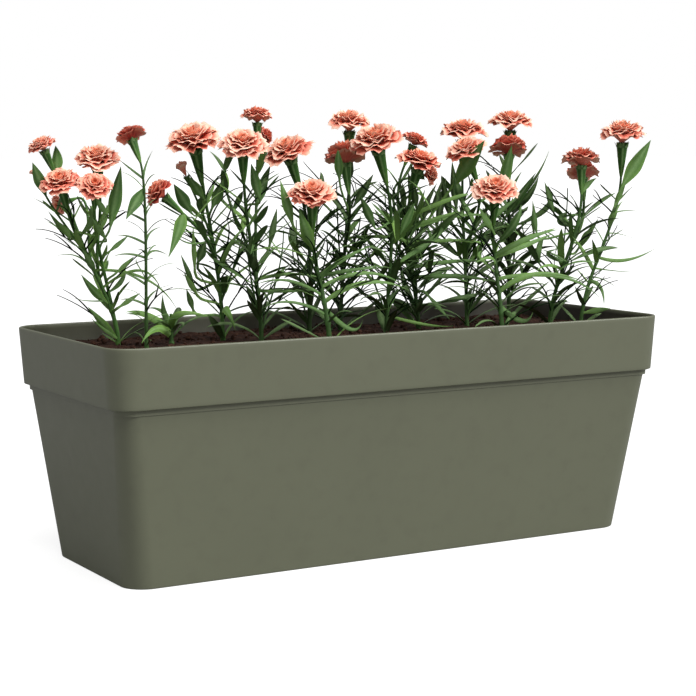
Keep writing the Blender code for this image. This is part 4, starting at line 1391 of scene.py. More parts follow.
GROWTHS = {
    1: Growth(
        forks=(0.50, 0.42, 0.14, 0.55, 0.62),
        habit=Habit.SPARSE,
        sprigs=0,
        straps=1,
        wires=8,
        shade=-0.24,
        leaves=(
            KeyLeaf(5, 345, (-297, 47, 361), (-304, 44, 376), 11, LANCE, 0.4),
            KeyLeaf(1, 362, (-267, 78, 378), (-269, 76, 391), 11, LANCE),
            KeyLeaf(3, 292, (-224, 42, 344), (-218, 42, 372), 13, LANCE, 0.5),
            KeyLeaf(3, 282, (-224, 38, 300), (-215, 34, 308), 4.5, LANCE, 0.5),
            KeyLeaf(3, 262, (-217, 40, 280), (-209, 36, 288), 4.5, LANCE, 0.6),
            KeyLeaf(0, 232, (-212, 44, 246), (-202, 40, 253), 5, LANCE, 0.6),
            KeyLeaf(3, 300, (-245, 34, 315), (-254, 30, 326), 6, LANCE, 0.55),
            KeyLeaf(1, 302, (-270, 52, 313), (-283, 45, 324), 5.5, LANCE, 0.65),
            KeyLeaf(1, 306, (-274, 60, 318), (-284, 60, 331), 5, LANCE),
            KeyLeaf(0, 272, (-248, 50, 283), (-257, 46, 296), 7, LANCE, 0.4),
            KeyLeaf(0, 242, (-246, 45, 256), (-262, 38, 273), 8, LANCE, 0.5),
            KeyLeaf(0, 208, (-239, 42, 225), (-257, 36, 243), 8, LANCE, 0.6),
            KeyLeaf(0, 252, (-217, 50, 264), (-214, 48, 278), 5, LANCE, 0.4),
            KeyLeaf(0, 258, (-206, 30, 275), (-188, 20, 253), 3, STRAP, 0.7),
            KeyLeaf(0, 275, (-196, 40, 266), (-168, 30, 235), 3, STRAP, 0.6),
            KeyLeaf(0, 210, (-243, 30, 221), (-261, 20, 234), 3.5, STRAP, 0.5),
            KeyLeaf(0, 306, (-249, 42, 322), (-252, 38, 337), 7, LANCE, 0.5),
            KeyLeaf(0, 310, (-235, 45, 324), (-230, 44, 338), 7, LANCE, 0.65),
            KeyLeaf(2, 322, (-248, 20, 336), (-256, 15, 345), 6, LANCE, 0.5),
            KeyLeaf(1, 318, (-289, 46, 336), (-306, 40, 344), 1.6, WISP, 0.3),
            KeyLeaf(0, 276, (-264, 46, 290), (-286, 42, 290), 1.7, WISP, 0.3),
            KeyLeaf(0, 246, (-255, 40, 248), (-272, 34, 252), 1.5, WISP, 0.3),
            KeyLeaf(0, 296, (-263, 46, 299), (-279, 42, 308), 1.6, WISP, 0.3),
        ),
    ),
    2: Growth(
        thickness=0.75,
        nod=0.35,
        habit=Habit.WIRY,
        sprigs=0,
        straps=0,
        wires=2,
        shade=0.05,
        leaves=(
            KeyLeaf(0, 352, (-221, 4, 339), (-234, -4, 324), 12, LANCE, 0.5),
            *(
                KeyLeaf(0, height, past, tip, 2.3, WISP, 0.3)
                for height, past, tip in (
                    (361, (-223, 12, 371), (-233, 10, 378)),
                    (361, (-206, 12, 373), (-200, 10, 386)),
                    (322, (-220, 12, 328), (-229, 12, 331)),
                    (322, (-206, 12, 330), (-198, 12, 338)),
                    (301, (-224, 12, 308), (-237, 10, 309)),
                    (301, (-202, 14, 311), (-191, 12, 316)),
                    (288, (-226, 12, 292), (-242, 10, 290)),
                    (288, (-198, 14, 294), (-182, 16, 288)),
                    (263, (-222, 10, 271), (-235, 10, 276)),
                    (263, (-204, 12, 270), (-194, 12, 272)),
                    (244, (-224, 10, 250), (-237, 8, 250)),
                    (244, (-205, 12, 252), (-197, 12, 258)),
                )
            ),
        ),
    ),
    3: Growth(
        forks=(0.42, 0.52),
        sprigs=1,
        straps=2,
        wires=12,
        shade=-0.14,
        leaves=(
            KeyLeaf(1, 335, (-169, 20, 315), (-184, 14, 287), 12, LANCE, 0.6),
            KeyLeaf(0, 322, (-159, 34, 341), (-170, 30, 355), 12, LANCE, 0.45),
            KeyLeaf(0, 338, (-141, 42, 351), (-150, 40, 362), 10, LANCE, 0.6),
            KeyLeaf(0, 316, (-119, 40, 345), (-114, 37, 359), 11, LANCE, 0.5),
            KeyLeaf(0, 252, (-139, 36, 290), (-136, 33, 301), 9.5, LANCE, 0.3),
            KeyLeaf(0, 266, (-115, 22, 297), (-98, 19, 315), 4.5, STRAP, 0.7),
            KeyLeaf(0, 250, (-150, 30, 293), (-152, 27, 315), 5, LANCE, 0.85),
            KeyLeaf(0, 232, (-154, 30, 260), (-162, 27, 271), 5.5, LANCE, 0.8),
            KeyLeaf(0, 222, (-155, 30, 245), (-160, 27, 256), 6, LANCE, 0.5),
            KeyLeaf(0, 256, (-154, 36, 272), (-164, 30, 289), 5, LANCE, 0.5),
            KeyLeaf(0, 228, (-127, 10, 236), (-122, 0, 217), 8, LANCE, 0.7),
            KeyLeaf(1, 300, (-160, 24, 300), (-178, 20, 312), 2, WISP, 0.4),
        ),
    ),
    4: Growth(
        forks=(0.30, 0.42),
        sprigs=2,
        straps=2,
        shade=0.06,
        leaves=(
            KeyLeaf(0, 268, (-72, 16, 312), (-69, 13, 331), 7, LANCE, 0.25),
            KeyLeaf(0, 330, (-102, -6, 357), (-108, -9, 374), 10, LANCE, 0.65),
            KeyLeaf(1, 330, (-66, 50, 350), (-58, 46, 372), 11, LANCE, 0.4),
            KeyLeaf(0, 262, (-60, 0, 268), (-30, -20, 262), 3.5, STRAP, 0.7),
            KeyLeaf(0, 252, (-62, -4, 252), (-28, -30, 255), 3.5, STRAP, 0.6),
        ),
    ),
    5: Growth(sprigs=2, straps=2, wires=12, shade=0.22),
    6: Growth(
        thickness=1.15,
        habit=Habit.SPREADING,
        sprigs=0,
        straps=2,
        wires=8,
        leaves=(
            KeyLeaf(0, 290, (-92, -49, 338), (-98, -48, 359), 9.5, LANCE, 0.75),
            KeyLeaf(0, 293, (-77, -60, 311), (-86, -62, 333), 12, LANCE, 0.75),
            KeyLeaf(0, 268, (-36, -62, 286), (-8, -66, 297), 4.5, STRAP, 0.55),
            KeyLeaf(0, 244, (-13, -62, 262), (42, -50, 251), 5, STRAP, 0.7),
            KeyLeaf(0, 258, (1, -40, 269), (52, -30, 251), 4, STRAP, 0.6),
            KeyLeaf(0, 268, (-32, -70, 275), (-6, -80, 276), 4, STRAP, 0.4),
            KeyLeaf(0, 238, (-34, -66, 219), (-24, -72, 227), 4.5, STRAP, 0.45),
            KeyLeaf(0, 250, (-92, -50, 266), (-122, -40, 262), 3, STRAP, 0.5),
            KeyLeaf(0, 232, (-90, -52, 246), (-118, -46, 240), 3, STRAP, 0.4),
        ),
    ),
    7: Growth(
        straps=4,
        shade=0.04,
        leaves=(
            KeyLeaf(0, 300, (66, -8, 318), (72, -12, 334), 9, LANCE, 0.6),
            KeyLeaf(0, 222, (82, -20, 213), (92, -52, 214), 3, STRAP, 0.8),
            KeyLeaf(0, 312, (20, -8, 326), (8, -14, 342), 9, LANCE, 0.5),
        ),
    ),
    8: Growth(
        forks=(0.45,),
        sprigs=4,
        wires=16,
        shade=0.22,
        leaves=(
            KeyLeaf(1, 318, (-1, 12, 372), (-3, 10, 387), 9, LANCE, 0.75),
            KeyLeaf(0, 297, (91, 30, 293), (96, 15, 262), 3.5, STRAP, 0.9),
            KeyLeaf(0, 330, (44, 40, 346), (52, 34, 362), 9, LANCE, 0.4),
        ),
    ),
    9: Growth(
        forks=(0.45, 0.52),
        sprigs=7,
        straps=3,
        wires=16,
        shade=0.1,
        leaves=(
            KeyLeaf(2, 305, (145, 52, 331), (153, 55, 357), 8, LANCE, 0.05),
            KeyLeaf(2, 309, (132, 45, 329), (128, 45, 347), 6.5, LANCE, 0.0),
            KeyLeaf(0, 313, (120, 40, 327), (125, 42, 339), 6.5, LANCE, 0.0),
            KeyLeaf(0, 325, (86, 10, 340), (79, 2, 353), 8, LANCE, 0.2),
            KeyLeaf(1, 319, (104, 60, 335), (103, 62, 353), 6.5, LANCE, 0.1),
            KeyLeaf(0, 312, (89, 0, 337), (62, -12, 358), 3.5, STRAP, 0.95),
            KeyLeaf(0, 306, (129, 8, 321), (142, 6, 319), 4, STRAP, 0.8),
            KeyLeaf(0, 292, (127, 12, 313), (139, 10, 329), 6.5, LANCE, 0.5),
            KeyLeaf(0, 318, (133, 8, 338), (146, 4, 339), 4.5, STRAP, 0.85),
            KeyLeaf(0, 275, (102, 15, 291), (113, 10, 303), 6.5, LANCE, 0.6),
            KeyLeaf(0, 290, (80, 0, 284), (82, -6, 269), 3.5, STRAP, 0.8),
            KeyLeaf(0, 262, (148, 6, 372), (155, -12, 395), 17, LANCE, 0.8),
            KeyLeaf(0, 283, (120, 40, 293), (129, 36, 305), 4.5, STRAP, 0.6),
            KeyLeaf(0, 287, (113, 38, 308), (98, 34, 333), 4.5, STRAP, 0.85),
            KeyLeaf(0, 291, (152, 22, 293), (188, 0, 285), 3.5, STRAP, 0.85),
            KeyLeaf(0, 304, (152, 24, 319), (194, 10, 314), 4, STRAP, 0.7),
            KeyLeaf(0, 318, (140, 26, 335), (158, 22, 338), 3, STRAP, 0.65),
            KeyLeaf(0, 266, (136, 10, 273), (178, -5, 271), 4.5, STRAP, 0.6),
            KeyLeaf(0, 256, (134, 0, 258), (178, -15, 250), 5, STRAP, 0.5),
            KeyLeaf(0, 236, (114, 10, 228), (122, 0, 215), 4.5, LANCE, 0.6),
            KeyLeaf(0, 222, (150, 22, 234), (176, 14, 239), 6, LANCE, 0.35),
            KeyLeaf(2, 300, (103, 45, 349), (98, 42, 364), 6, LANCE, 0.15),
            KeyLeaf(2, 306, (121, 40, 335), (130, 37, 352), 5.5, LANCE, 0.1),
            KeyLeaf(2, 300, (135, 45, 337), (141, 42, 358), 6, LANCE, 0.1),
            KeyLeaf(0, 300, (90, 40, 341), (83, 37, 358), 5.5, LANCE, 0.2),
            KeyLeaf(0, 296, (105, 30, 329), (109, 27, 346), 5.5, LANCE, 0.25),
            KeyLeaf(0, 338, (88, 2, 342), (100, -4, 319), 3, STRAP, 0.9),
        ),
    ),
    10: Growth(
        forks=(0.40,),
        straps=4,
        shade=0.05,
        leaves=(
            KeyLeaf(1, 330, (146, 22, 346), (138, 18, 362), 9, LANCE, 0.4),
            KeyLeaf(0, 286, (150, 50, 336), (142, 48, 360), 9, LANCE, 0.15),
            KeyLeaf(0, 296, (160, 50, 348), (157, 50, 374), 9, LANCE, 0.2),
            KeyLeaf(0, 300, (186, 10, 320), (206, 0, 338), 7, LANCE, 0.5),
        ),
    ),
    11: Growth(
        forks=(0.42,),
        sprigs=5,
        straps=3,
        wires=14,
        shade=0.2,
        leaves=(
            KeyLeaf(1, 300, (219, 15, 338), (228, 0, 362), 7.5, LANCE, 0.6),
            KeyLeaf(0, 302, (272, 40, 324), (271, 40, 348), 6.5, LANCE, 0.45),
            KeyLeaf(0, 294, (251, 35, 311), (248, 32, 326), 5, LANCE, 0.7),
            KeyLeaf(1, 335, (198, 10, 366), (200, 4, 390), 12, LANCE, 0.8),
            KeyLeaf(0, 325, (246, 30, 352), (263, 25, 384), 4, STRAP, 0.5),
            KeyLeaf(0, 318, (254, 50, 336), (264, 44, 358), 8, LANCE, 0.4),
        ),
    ),
    12: Growth(
        thickness=1.1,
        habit=Habit.SPREADING,
        sprigs=0,
        straps=2,
        wires=8,
        leaves=(
            KeyLeaf(0, 280, (189, -45, 292), (221, -40, 301), 5.5, STRAP, 0.65),
            KeyLeaf(0, 258, (211, -66, 259), (260, -70, 235), 4.5, STRAP, 0.6),
            KeyLeaf(0, 245, (181, -68, 263), (236, -76, 253), 5, STRAP, 0.7),
            KeyLeaf(0, 281, (176, -62, 299), (210, -64, 306), 6, STRAP, 0.6),
            KeyLeaf(0, 272, (125, -66, 281), (102, -70, 275), 4, STRAP, 0.75),
            KeyLeaf(0, 231, (162, -70, 217), (171, -76, 226), 5.5, STRAP, 0.4),
            KeyLeaf(0, 300, (122, -64, 318), (112, -66, 330), 7, LANCE, 0.7),
            KeyLeaf(0, 290, (158, -60, 312), (168, -58, 332), 8, LANCE, 0.5),
        ),
    ),
    13: Growth(
        forks=(0.55,),
        straps=1,
        wires=9,
        leaves=(
            KeyLeaf(0, 306, (252, -12, 313), (262, -14, 322), 9, LANCE, 0.3),
            KeyLeaf(0, 288, (279, -22, 298), (287, -24, 306), 7, LANCE, 0.7),
            KeyLeaf(0, 270, (230, -20, 279), (242, -26, 284), 4.5, STRAP, 0.4),
            KeyLeaf(0, 262, (222, -30, 268), (200, -40, 262), 3.5, STRAP, 0.8),
            KeyLeaf(0, 275, (281, -20, 297), (292, -24, 314), 7, LANCE, 0.7),
            KeyLeaf(0, 316, (234, -16, 336), (226, -18, 353), 6, LANCE, 0.4),
            KeyLeaf(0, 296, (217, -14, 316), (214, -14, 334), 5, LANCE, 0.5),
            KeyLeaf(0, 340, (276, -26, 350), (284, -30, 356), 6, LANCE, 0.6),
        ),
    ),
    14: Growth(
        thickness=0.9,
        habit=Habit.UPRIGHT,
        sprigs=0,
        straps=0,
        wires=3,
        leaves=(
            KeyLeaf(0, 305, (314, -57, 371), (330, -60, 395), 15, LANCE, 0.7),
            KeyLeaf(0, 318, (299, -50, 340), (306, -52, 356), 6, LANCE, 0.7),
            KeyLeaf(0, 305, (289, -50, 317), (301, -52, 333), 6, LANCE, 0.75),
            KeyLeaf(0, 262, (260, -40, 282), (249, -36, 297), 4.5, STRAP, 0.85),
            KeyLeaf(0, 251, (268, -60, 245), (265, -70, 227), 4.5, STRAP, 0.5),
            KeyLeaf(0, 218, (264, -60, 222), (272, -72, 224), 6, LANCE, 0.7),
            KeyLeaf(0, 275, (304, -56, 272), (337, -62, 283), 4, STRAP, 0.65),
            KeyLeaf(0, 320, (318, -36, 322), (345, -30, 320), 1.5, WISP, 0.6),
            KeyLeaf(0, 299, (312, -32, 298), (338, -26, 292), 1.2, WISP, 0.6),
            KeyLeaf(0, 264, (310, -34, 259), (345, -24, 256), 1.2, WISP, 0.6),
            KeyLeaf(0, 255, (288, -40, 251), (311, -36, 240), 1.4, WISP, 0.3),
        ),
    ),
    15: Growth(
        leaves=(
            KeyLeaf(0, 216, (-205, 20, 234), (-229, 14, 238), 7, STRAP, 0.75),
            KeyLeaf(0, 218, (-176, 10, 234), (-152, -6, 232), 7, STRAP, 0.9),
            KeyLeaf(0, 222, (-184, 26, 234), (-186, 24, 252), 6, LANCE, 0.5),
            KeyLeaf(0, 212, (-200, 8, 222), (-226, -16, 212), 8, STRAP, 0.8),
        )
    ),
}


@dataclass
class Garden:
    """What the leaves keep clear of: the trough, its soil and every bloom."""

    heads: list[Head]
    past_ends: tuple[float, float, float] = (12.0, 8.0, 0.0)
    below_top: float = 6.0
    wall_gap: float = 6.0
    margin: float = 1.5
    length: float = field(init=False)
    width: float = field(init=False)
    top: float = field(init=False)
    soil: float = field(init=False)
    low: Array = field(init=False)
    high: Array = field(init=False)

    def __post_init__(self) -> None:
        """Measures the trough, its soil and the whole object."""
        self.low, self.high = (np.array(corner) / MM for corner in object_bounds())
        self.low -= self.past_ends
        self.high += np.array(self.past_ends) - UP * self.below_top
        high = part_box("planter_box")[1]
        self.length = high.x / MM
        self.width = high.y / MM
        self.top = high.z / MM
        self.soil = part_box("soil")[1].z / MM - SOIL_ROLL

    def clear(self, lines: Array) -> Array:
        """Finds which lines are clear all along.

        Over the trough's inside a line stays above the soil, over its wall and beyond it above
        the lip. No point past a line's foot is in the flat cylinder round a bloom.

        Args:
            lines: Points (copies, steps, 3).

        Returns:
            True for each clear line.
        """
        points = lines[:, 2:]
        beyond = (points < self.low) | (points > self.high)
        mouth = np.array((self.length, self.width)) - self.wall_gap
        within = (np.abs(points[..., :2]) < mouth).all(axis=-1)
        floor = np.where(within, self.soil + 2 * self.margin, self.top + self.margin)
        good = (points[..., 2] > floor).all(axis=1) & ~beyond.any(axis=(1, 2))
        for head in self.heads:
            offset = points - head.neck
            height = offset @ head.axis
            reach = np.linalg.norm(offset - height[..., None] * head.axis, axis=-1)
            level = (height > 0.1 * head.dome) & (height < head.dome + self.margin)
            good &= ~((reach < head.width / 2 + self.margin) & level).any(axis=1)
        return good


@dataclass(frozen=True)
class Ranges:
    """The lowest and highest length, width, rise and fall of a group, and how much it curls.

    Without a width the group draws none and is 1 wide.
    """

    length: tuple[float, float]
    width: tuple[float, float] | None
    rise: tuple[float, float]
    fall: tuple[float, float]
    curl: float


class Group(Enum):
    """The plants' groups of leaves and twigs that don't go up a stem in pairs."""

    STRAPS = Ranges((58.0, 92.0), (3.8, 5.4), (0.55, 1.0), (1.5, 2.0), 0.35)
    ROSETTE = Ranges((34.0, 56.0), (5.5, 8.0), (0.5, 0.95), (1.6, 2.2), 0.3)
    TWIGS = Ranges((34.0, 80.0), None, (0.35, 0.9), (1.0, 1.8), 0.6)


@dataclass
class LeafRule:
    """The numbers of many narrow leaves at once."""

    start: Array
    ahead: Array
    radius: Array
    heading: Array
    length: Array
    width: Array
    rise: Array
    fall: Array
    curl: Array

    @classmethod
    def drawn(
        cls, rng: np.random.Generator, foot: tuple[Array, ...], heading: Array, group: Group
    ) -> "LeafRule":
        """Draws a group's numbers.

        Args:
            rng: The plant's random numbers.
            foot: (points, directions, radii) of the stem at the leaves' feet.
            heading: The way each leaf goes, as an angle from +X.
            group: Which group it is.

        Returns:
            The numbers.
        """
        count = len(heading)
        ranges = group.value
        length = rng.uniform(*ranges.length, count)
        width = rng.uniform(*ranges.width, count) if ranges.width else np.ones(count)
        rise = rng.uniform(*ranges.rise, count)
        fall = rng.uniform(*ranges.fall, count)
        return cls(*foot, heading, length, width, rise, fall, rng.normal(0, ranges.curl, count))

    def spines(self, ease: float = 1.0, steps: int = 12) -> tuple[Array, Array]:
        """Midlines that leave the stem near upright and arch over.

        The angle from upright runs from rise to fall along the leaf, while the heading turns by
        curl, and the steps along that direction are summed.

        Args:
            ease: A share that shortens and steepens them all.
            steps: Points along each.

        Returns:
            (midlines, directions of their widths).
        """
        t = np.linspace(0.0, 1.0, steps)
        middle = ((t[1:] + t[:-1]) / 2)[None]
        rise = self.rise[:, None]
        angle = rise + (self.fall[:, None] * ease - rise) * middle**1.1
        turn = self.heading[:, None] + self.curl[:, None] * middle**2
        level = np.stack((np.cos(turn), np.sin(turn), np.zeros_like(turn)), -1)
        upward = unit(self.ahead + UP)[:, None]
        step = np.cos(angle)[..., None] * upward + np.sin(angle)[..., None] * level
        step = step * (self.length * ease / (steps - 1))[:, None, None]
        start = self.start[:, None] + level[:, :1] * self.radius[:, None, None] * 0.3
        spine = np.concatenate((start, start + np.cumsum(step, axis=1)), axis=1)
        side = unit(np.cross(level, np.broadcast_to(upward, level.shape)))
        return spine, np.concatenate((side[:, :1], side), axis=1)

    def only(self, chosen: Array) -> "LeafRule":
        """The chosen leaves' numbers."""
        return LeafRule(*(getattr(self, name)[chosen] for name in self.__dataclass_fields__))


class Plant:
    """A carnation, or a low tuft where it has no bloom."""

    first_seed = 100
    foot_slice = 0.5
    root_depth = 6.0
    stem_steps = 24
    tuft_stem = 30.0
    stem_base = 2.3
    stem_top = 1.4
    branch_base = 1.7
    sprig_steps = 14
    sprig_from = (0.03, 0.5)
    sprig_height = (55.0, 125.0)
    sprig_reach = (12.0, 48.0)
    sprig_radii = (1.15, 0.6)
    twig_radii = (0.95, 0.35)
    twig_steps = 10
    twig_fork = 4
    twig_from = (0.1, 0.9)
    fork_radius = 0.3
    fork_turn = 0.9
    fork_share = 0.5
    fork_rise = (0.1, 0.5)
    fork_fall = (0.7, 1.5)
    strap_from = (0.04, 0.55)
    rosette = 7
    rosette_from = (0.35, 0.5)
    golden_turn = 2.4
    joint_turn = np.pi / 2
    first_pair = {"stem": 8.0, "branch": 24.0, "sprig": 10.0}
    side_spacing = 1.15
    bare_top = 14.0
    full_height = 150.0
    length_play = (0.6, 1.2)
    width_play = (0.7, 1.15)
    tries = (1.0, 0.93, 0.86, 0.78, 0.7, 0.6)
    blade_twist = 0.6
    blade_tone = (0.52, 0.28)
    # Painted shade near the soil: the height below which leaves darken, and by how much.
    low_height = 80.0
    low_shade = 0.45
    nearest_blade = 3.0
    broad_blade = 7.0
    curve_steps = 15
    stalk_steps = 7
    blade_steps = 12
    key_twist = 0.35
    stem_tone = 0.16
    sprig_tone = 0.12
    light = np.array((-0.5, -0.8, 0.3))

    def __init__(self, number: int, node: bpy.types.Object, heads: list[Head]) -> None:
        """Finds the root in the plant's solid, and draws its stems to its heads.

        Args:
            number: The plant's number.
            node: Its solid.
            heads: Its blooms' places, the main stem's first.
        """
        self.heads = heads
        self.growth = GROWTHS[number]
        self.manner = self.growth.habit.value
        self.rng = np.random.default_rng(number + self.first_seed)
        points = np.array([v.co for v in node.data.vertices]) / MM
        low = points[points[:, 2] < points[:, 2].min() + self.foot_slice]
        x, y = np.unique(np.round(low, 2), axis=0)[:, :2].mean(axis=0)
        self.root = np.array((x, y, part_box("soil")[1].z / MM - SOIL_ROLL))
        self.shoots = self.stems()

    def stems(self) -> list[Shoot]:
        """Draws the main stem, then a branch for each further head, as cubic curves.

        Returns:
            The shoots, the main stem first. A tuft has one short straight shoot.
        """
        thickness = self.growth.thickness
        below = self.root - UP * self.root_depth
        if not self.heads:
            line = np.linspace(below, self.root + UP * self.tuft_stem, 6)
            return [Shoot(line, self.stem_base * thickness, self.stem_top)]
        shoots = []
        for order, head in enumerate(self.heads):
            foot = Calyx(head).foot
            if order:
                share = self.growth.forks[order - 1]
                start, ahead, _ = (found[0] for found in shoots[0].at(np.array([share])))
                slim = min(1.0, 0.6 + head.width / 80)
                radii = (self.branch_base * slim, self.stem_top * slim)
            else:
                start, ahead = self.root, UP
                radii = (self.stem_base * thickness, self.stem_top * thickness)
            reach = np.linalg.norm(foot - start) / 3
            end = foot + head.axis * 2
            neck = foot - head.axis * reach * self.growth.nod
            line = bezier(start, start + ahead * reach, neck, end, self.stem_steps)
            if not order:
                line = np.concatenate((below[None], line))
            shoots.append(Shoot(line, *radii))
        return shoots

    def sprigs(self, garden: Garden) -> list[Shoot]:
        """Draws leafy side shoots from low on the main stem, which bend upright as they rise.

        Args:
            garden: What they keep clear of.

        Returns:
            Those that are clear.
        """
        rng = self.rng
        made = []
        for order in range(self.growth.sprigs):
            share = rng.uniform(*self.sprig_from)
            start, _, _ = (found[0] for found in self.shoots[0].at(np.array([share])))
            heading = order * self.golden_turn + rng.uniform(0, 0.8)
            level = np.array((np.cos(heading), np.sin(heading), 0.0))
            tall = rng.uniform(*self.sprig_height) * (1 - 0.5 * share)
            squeezed = 0.6 if abs(level[1]) > 0.7 else 1.0  # The trough is narrow across.
            end = start + level * rng.uniform(*self.sprig_reach) * squeezed + UP * tall
            leave = start + level * 6 + UP * tall * 0.2
            line = bezier(start, leave, end - UP * tall * 0.4, end, self.sprig_steps)
            if garden.clear(line[None])[0]:
                made.append(Shoot(line, *self.sprig_radii))
        return made

    def leaf_rule(self, shoot: Shoot, manner: Manner, first: float) -> tuple[LeafRule, Array]:
        """Pairs of narrow leaves up one stem, each pair turned a quarter from the last.

        Args:
            shoot: The stem.
            manner: How they stand.
            first: How far up the stem the first pair is.

        Returns:
            (their numbers, the pairs' shares of the stem's length).
        """
        rng = self.rng
        last = max(shoot.length - self.bare_top, first + 1)
        places = np.arange(first, last, manner.spacing)
        joints = places / shoot.length
        count = len(places)
        shares = np.repeat(joints, 2)
        start, ahead, radius = shoot.at(shares)
        tall = np.clip((start[:, 2] - self.root[2]) / self.full_height, 0, 1)
        heading = rng.uniform(0, np.pi) + np.arange(count) * self.joint_turn
        heading = heading + rng.normal(0, 0.3, count)
        heading = np.repeat(heading, 2) + np.tile((0, np.pi), count)
        size = len(shares)
        fall = np.interp(tall, (0, 1), manner.fall)
        rule = LeafRule(
            start,
            ahead,
            radius,
            heading + rng.normal(0, 0.2, size),
            np.interp(tall, (0, 1), manner.length) * rng.uniform(*self.length_play, size),
            np.interp(tall, (0, 1), manner.width) * rng.uniform(*self.width_play, size),
            rng.uniform(*manner.rise, size),
            fall * rng.uniform(1 - manner.spread, 1 + manner.spread, size),
            rng.normal(0, 0.5, size),
        )
        return rule, joints

    def strap_rule(self) -> LeafRule:
        """Long leaves that arch over from the lower half, mostly along the trough.

        Returns:
            Their numbers.
        """
        count = self.growth.straps
        foot = self.shoots[0].at(self.rng.uniform(*self.strap_from, count))
        heading = np.arange(count) * np.pi + self.rng.normal(-0.4, 0.5, count)
        return LeafRule.drawn(self.rng, foot, heading, Group.STRAPS)

    def narrow_leaves(self, skin: Skin, rule: LeafRule, garden: Garden) -> None:
        """Adds the leaves that find room, each a little shorter and steeper at every try.

        Args:
            skin: What takes them.
            rule: Their numbers.
            garden: What they keep clear of.
        """
        waiting = np.arange(len(rule.start))
        for ease in self.tries:
            if not len(waiting):
                return
            chosen = rule.only(waiting)
            spine, side = chosen.spines(ease)
            good = garden.clear(spine)
            if good.any():
                self.add_blades(skin, spine[good], side[good], chosen.only(good))
            waiting = waiting[~good]

    def add_blades(self, skin: Skin, spine: Array, side: Array, rule: LeafRule) -> None:
        """Adds leaves with a long taper, a twist and a tone of their own, darker near the soil and
        on shaded plants: painted shade.

        The width follows a sine from its rise to its fall, raised to a power below 1.

        Args:
            skin: What takes them.
            spine: Midlines (count, steps, 3).
            side: Directions of their widths.
            rule: Their numbers.
        """
        rng = self.rng
        count, steps = spine.shape[:2]
        t = np.linspace(0.0, 1.0, steps)
        shape = np.sin(np.pi * (0.16 + 0.84 * t)) ** 0.8
        width = rule.width[:, None] * shape + 0.12
        width[:, 0] = np.minimum(width[:, 0], rule.radius * 2)
        twist = rng.normal(0, self.blade_twist, (count, 1)) * t
        over = unit(np.cross(np.gradient(spine, axis=1), side))
        side = np.cos(twist)[..., None] * side + np.sin(twist)[..., None] * over
        # Painted shade: darker by the plant's shade and near the soil.
        low = 1 - np.clip((spine[:, 0, 2] - self.root[2]) / self.low_height, 0, 1)
        tone = rng.normal(*self.blade_tone, count) - self.growth.shade * 1.5
        tone = np.clip(tone - self.low_shade * low, 0.0, 1.0)
        Blades(spine, side, width, tone, thickness=0.7, columns=3, fold=0.28).grow(skin)

    def key_line(self, leaf: KeyLeaf) -> tuple[Array, Array]:
        """Draws the midline of a leaf that stands out.

        A lance is a straight blade with the leaf's middle halfway, on a stalk that bends from
        the stem to the blade's foot. Where that foot would be behind the stem, and for the other
        shapes, one quadratic curve runs from the stem past the middle.

        Args:
            leaf: The leaf.

        Returns:
            (points, the share of the blade at each of them, which is below 0 on the stalk).
        """
        start, ahead, _ = self.shoots[leaf.stem].at_height(leaf.height)
        past, tip = np.array(leaf.past, float), np.array(leaf.tip, float)
        foot, along = 2 * past - tip, unit(tip - past)
        gap = float((foot - start) @ along)
        if leaf.shape is not Shape.LANCE or gap < self.nearest_blade:
            knee = 2 * past - (start + tip) / 2
            ends = (start + (knee - start) * 2 / 3, knee + (tip - knee) / 3)
            steps = self.curve_steps
            return bezier(start, *ends, tip, steps), np.linspace(0.0, 1.0, steps)
        pull = float(np.linalg.norm(foot - start)) / 3
        knees = (start + ahead * pull, foot - along * pull)
        stalk = bezier(start, *knees, foot, self.stalk_steps)
        share = np.linspace(0.0, 1.0, self.blade_steps)
        blade = foot + share[:, None] * (tip - foot)
        line = np.concatenate((stalk[:-1], blade))
        return line, np.concatenate((np.linspace(-0.5, -0.1, self.stalk_steps - 1), share))

    def key_leaves(self, skin: Skin) -> None:
        """Adds the leaves that stand out, each with its face to the light.

        Args:
            skin: What takes them.
        """
        for leaf in self.growth.leaves:
            spine, t = self.key_line(leaf)
            radius = self.shoots[leaf.stem].at_height(leaf.height)[2]
            full = leaf.width * leaf.shape.width(t) * (t >= 0)
            width = np.maximum(full, np.interp(t, (0, 0.3, 0.9), (radius * 1.4, 1.1, 0.2)))
            ahead = unit(np.gradient(spine, axis=0))
            side = unit(np.cross(ahead, self.light))
            twist = self.rng.normal(0, self.key_twist) * (t - 0.3)[:, None]
            side = np.cos(twist) * side + np.sin(twist) * np.cross(ahead, side)
            # Each leaf's tone, partly painted light and shade, less half the plant's painted
            # shade.
            tone = np.array([leaf.tone - self.growth.shade * 0.5])
            columns = 5 if leaf.width > self.broad_blade else 3
            fold = leaf.shape.value[3]
            one = (spine[None], side[None], width[None], tone)
            Blades(*one, thickness=0.9, columns=columns, fold=fold).grow(skin)

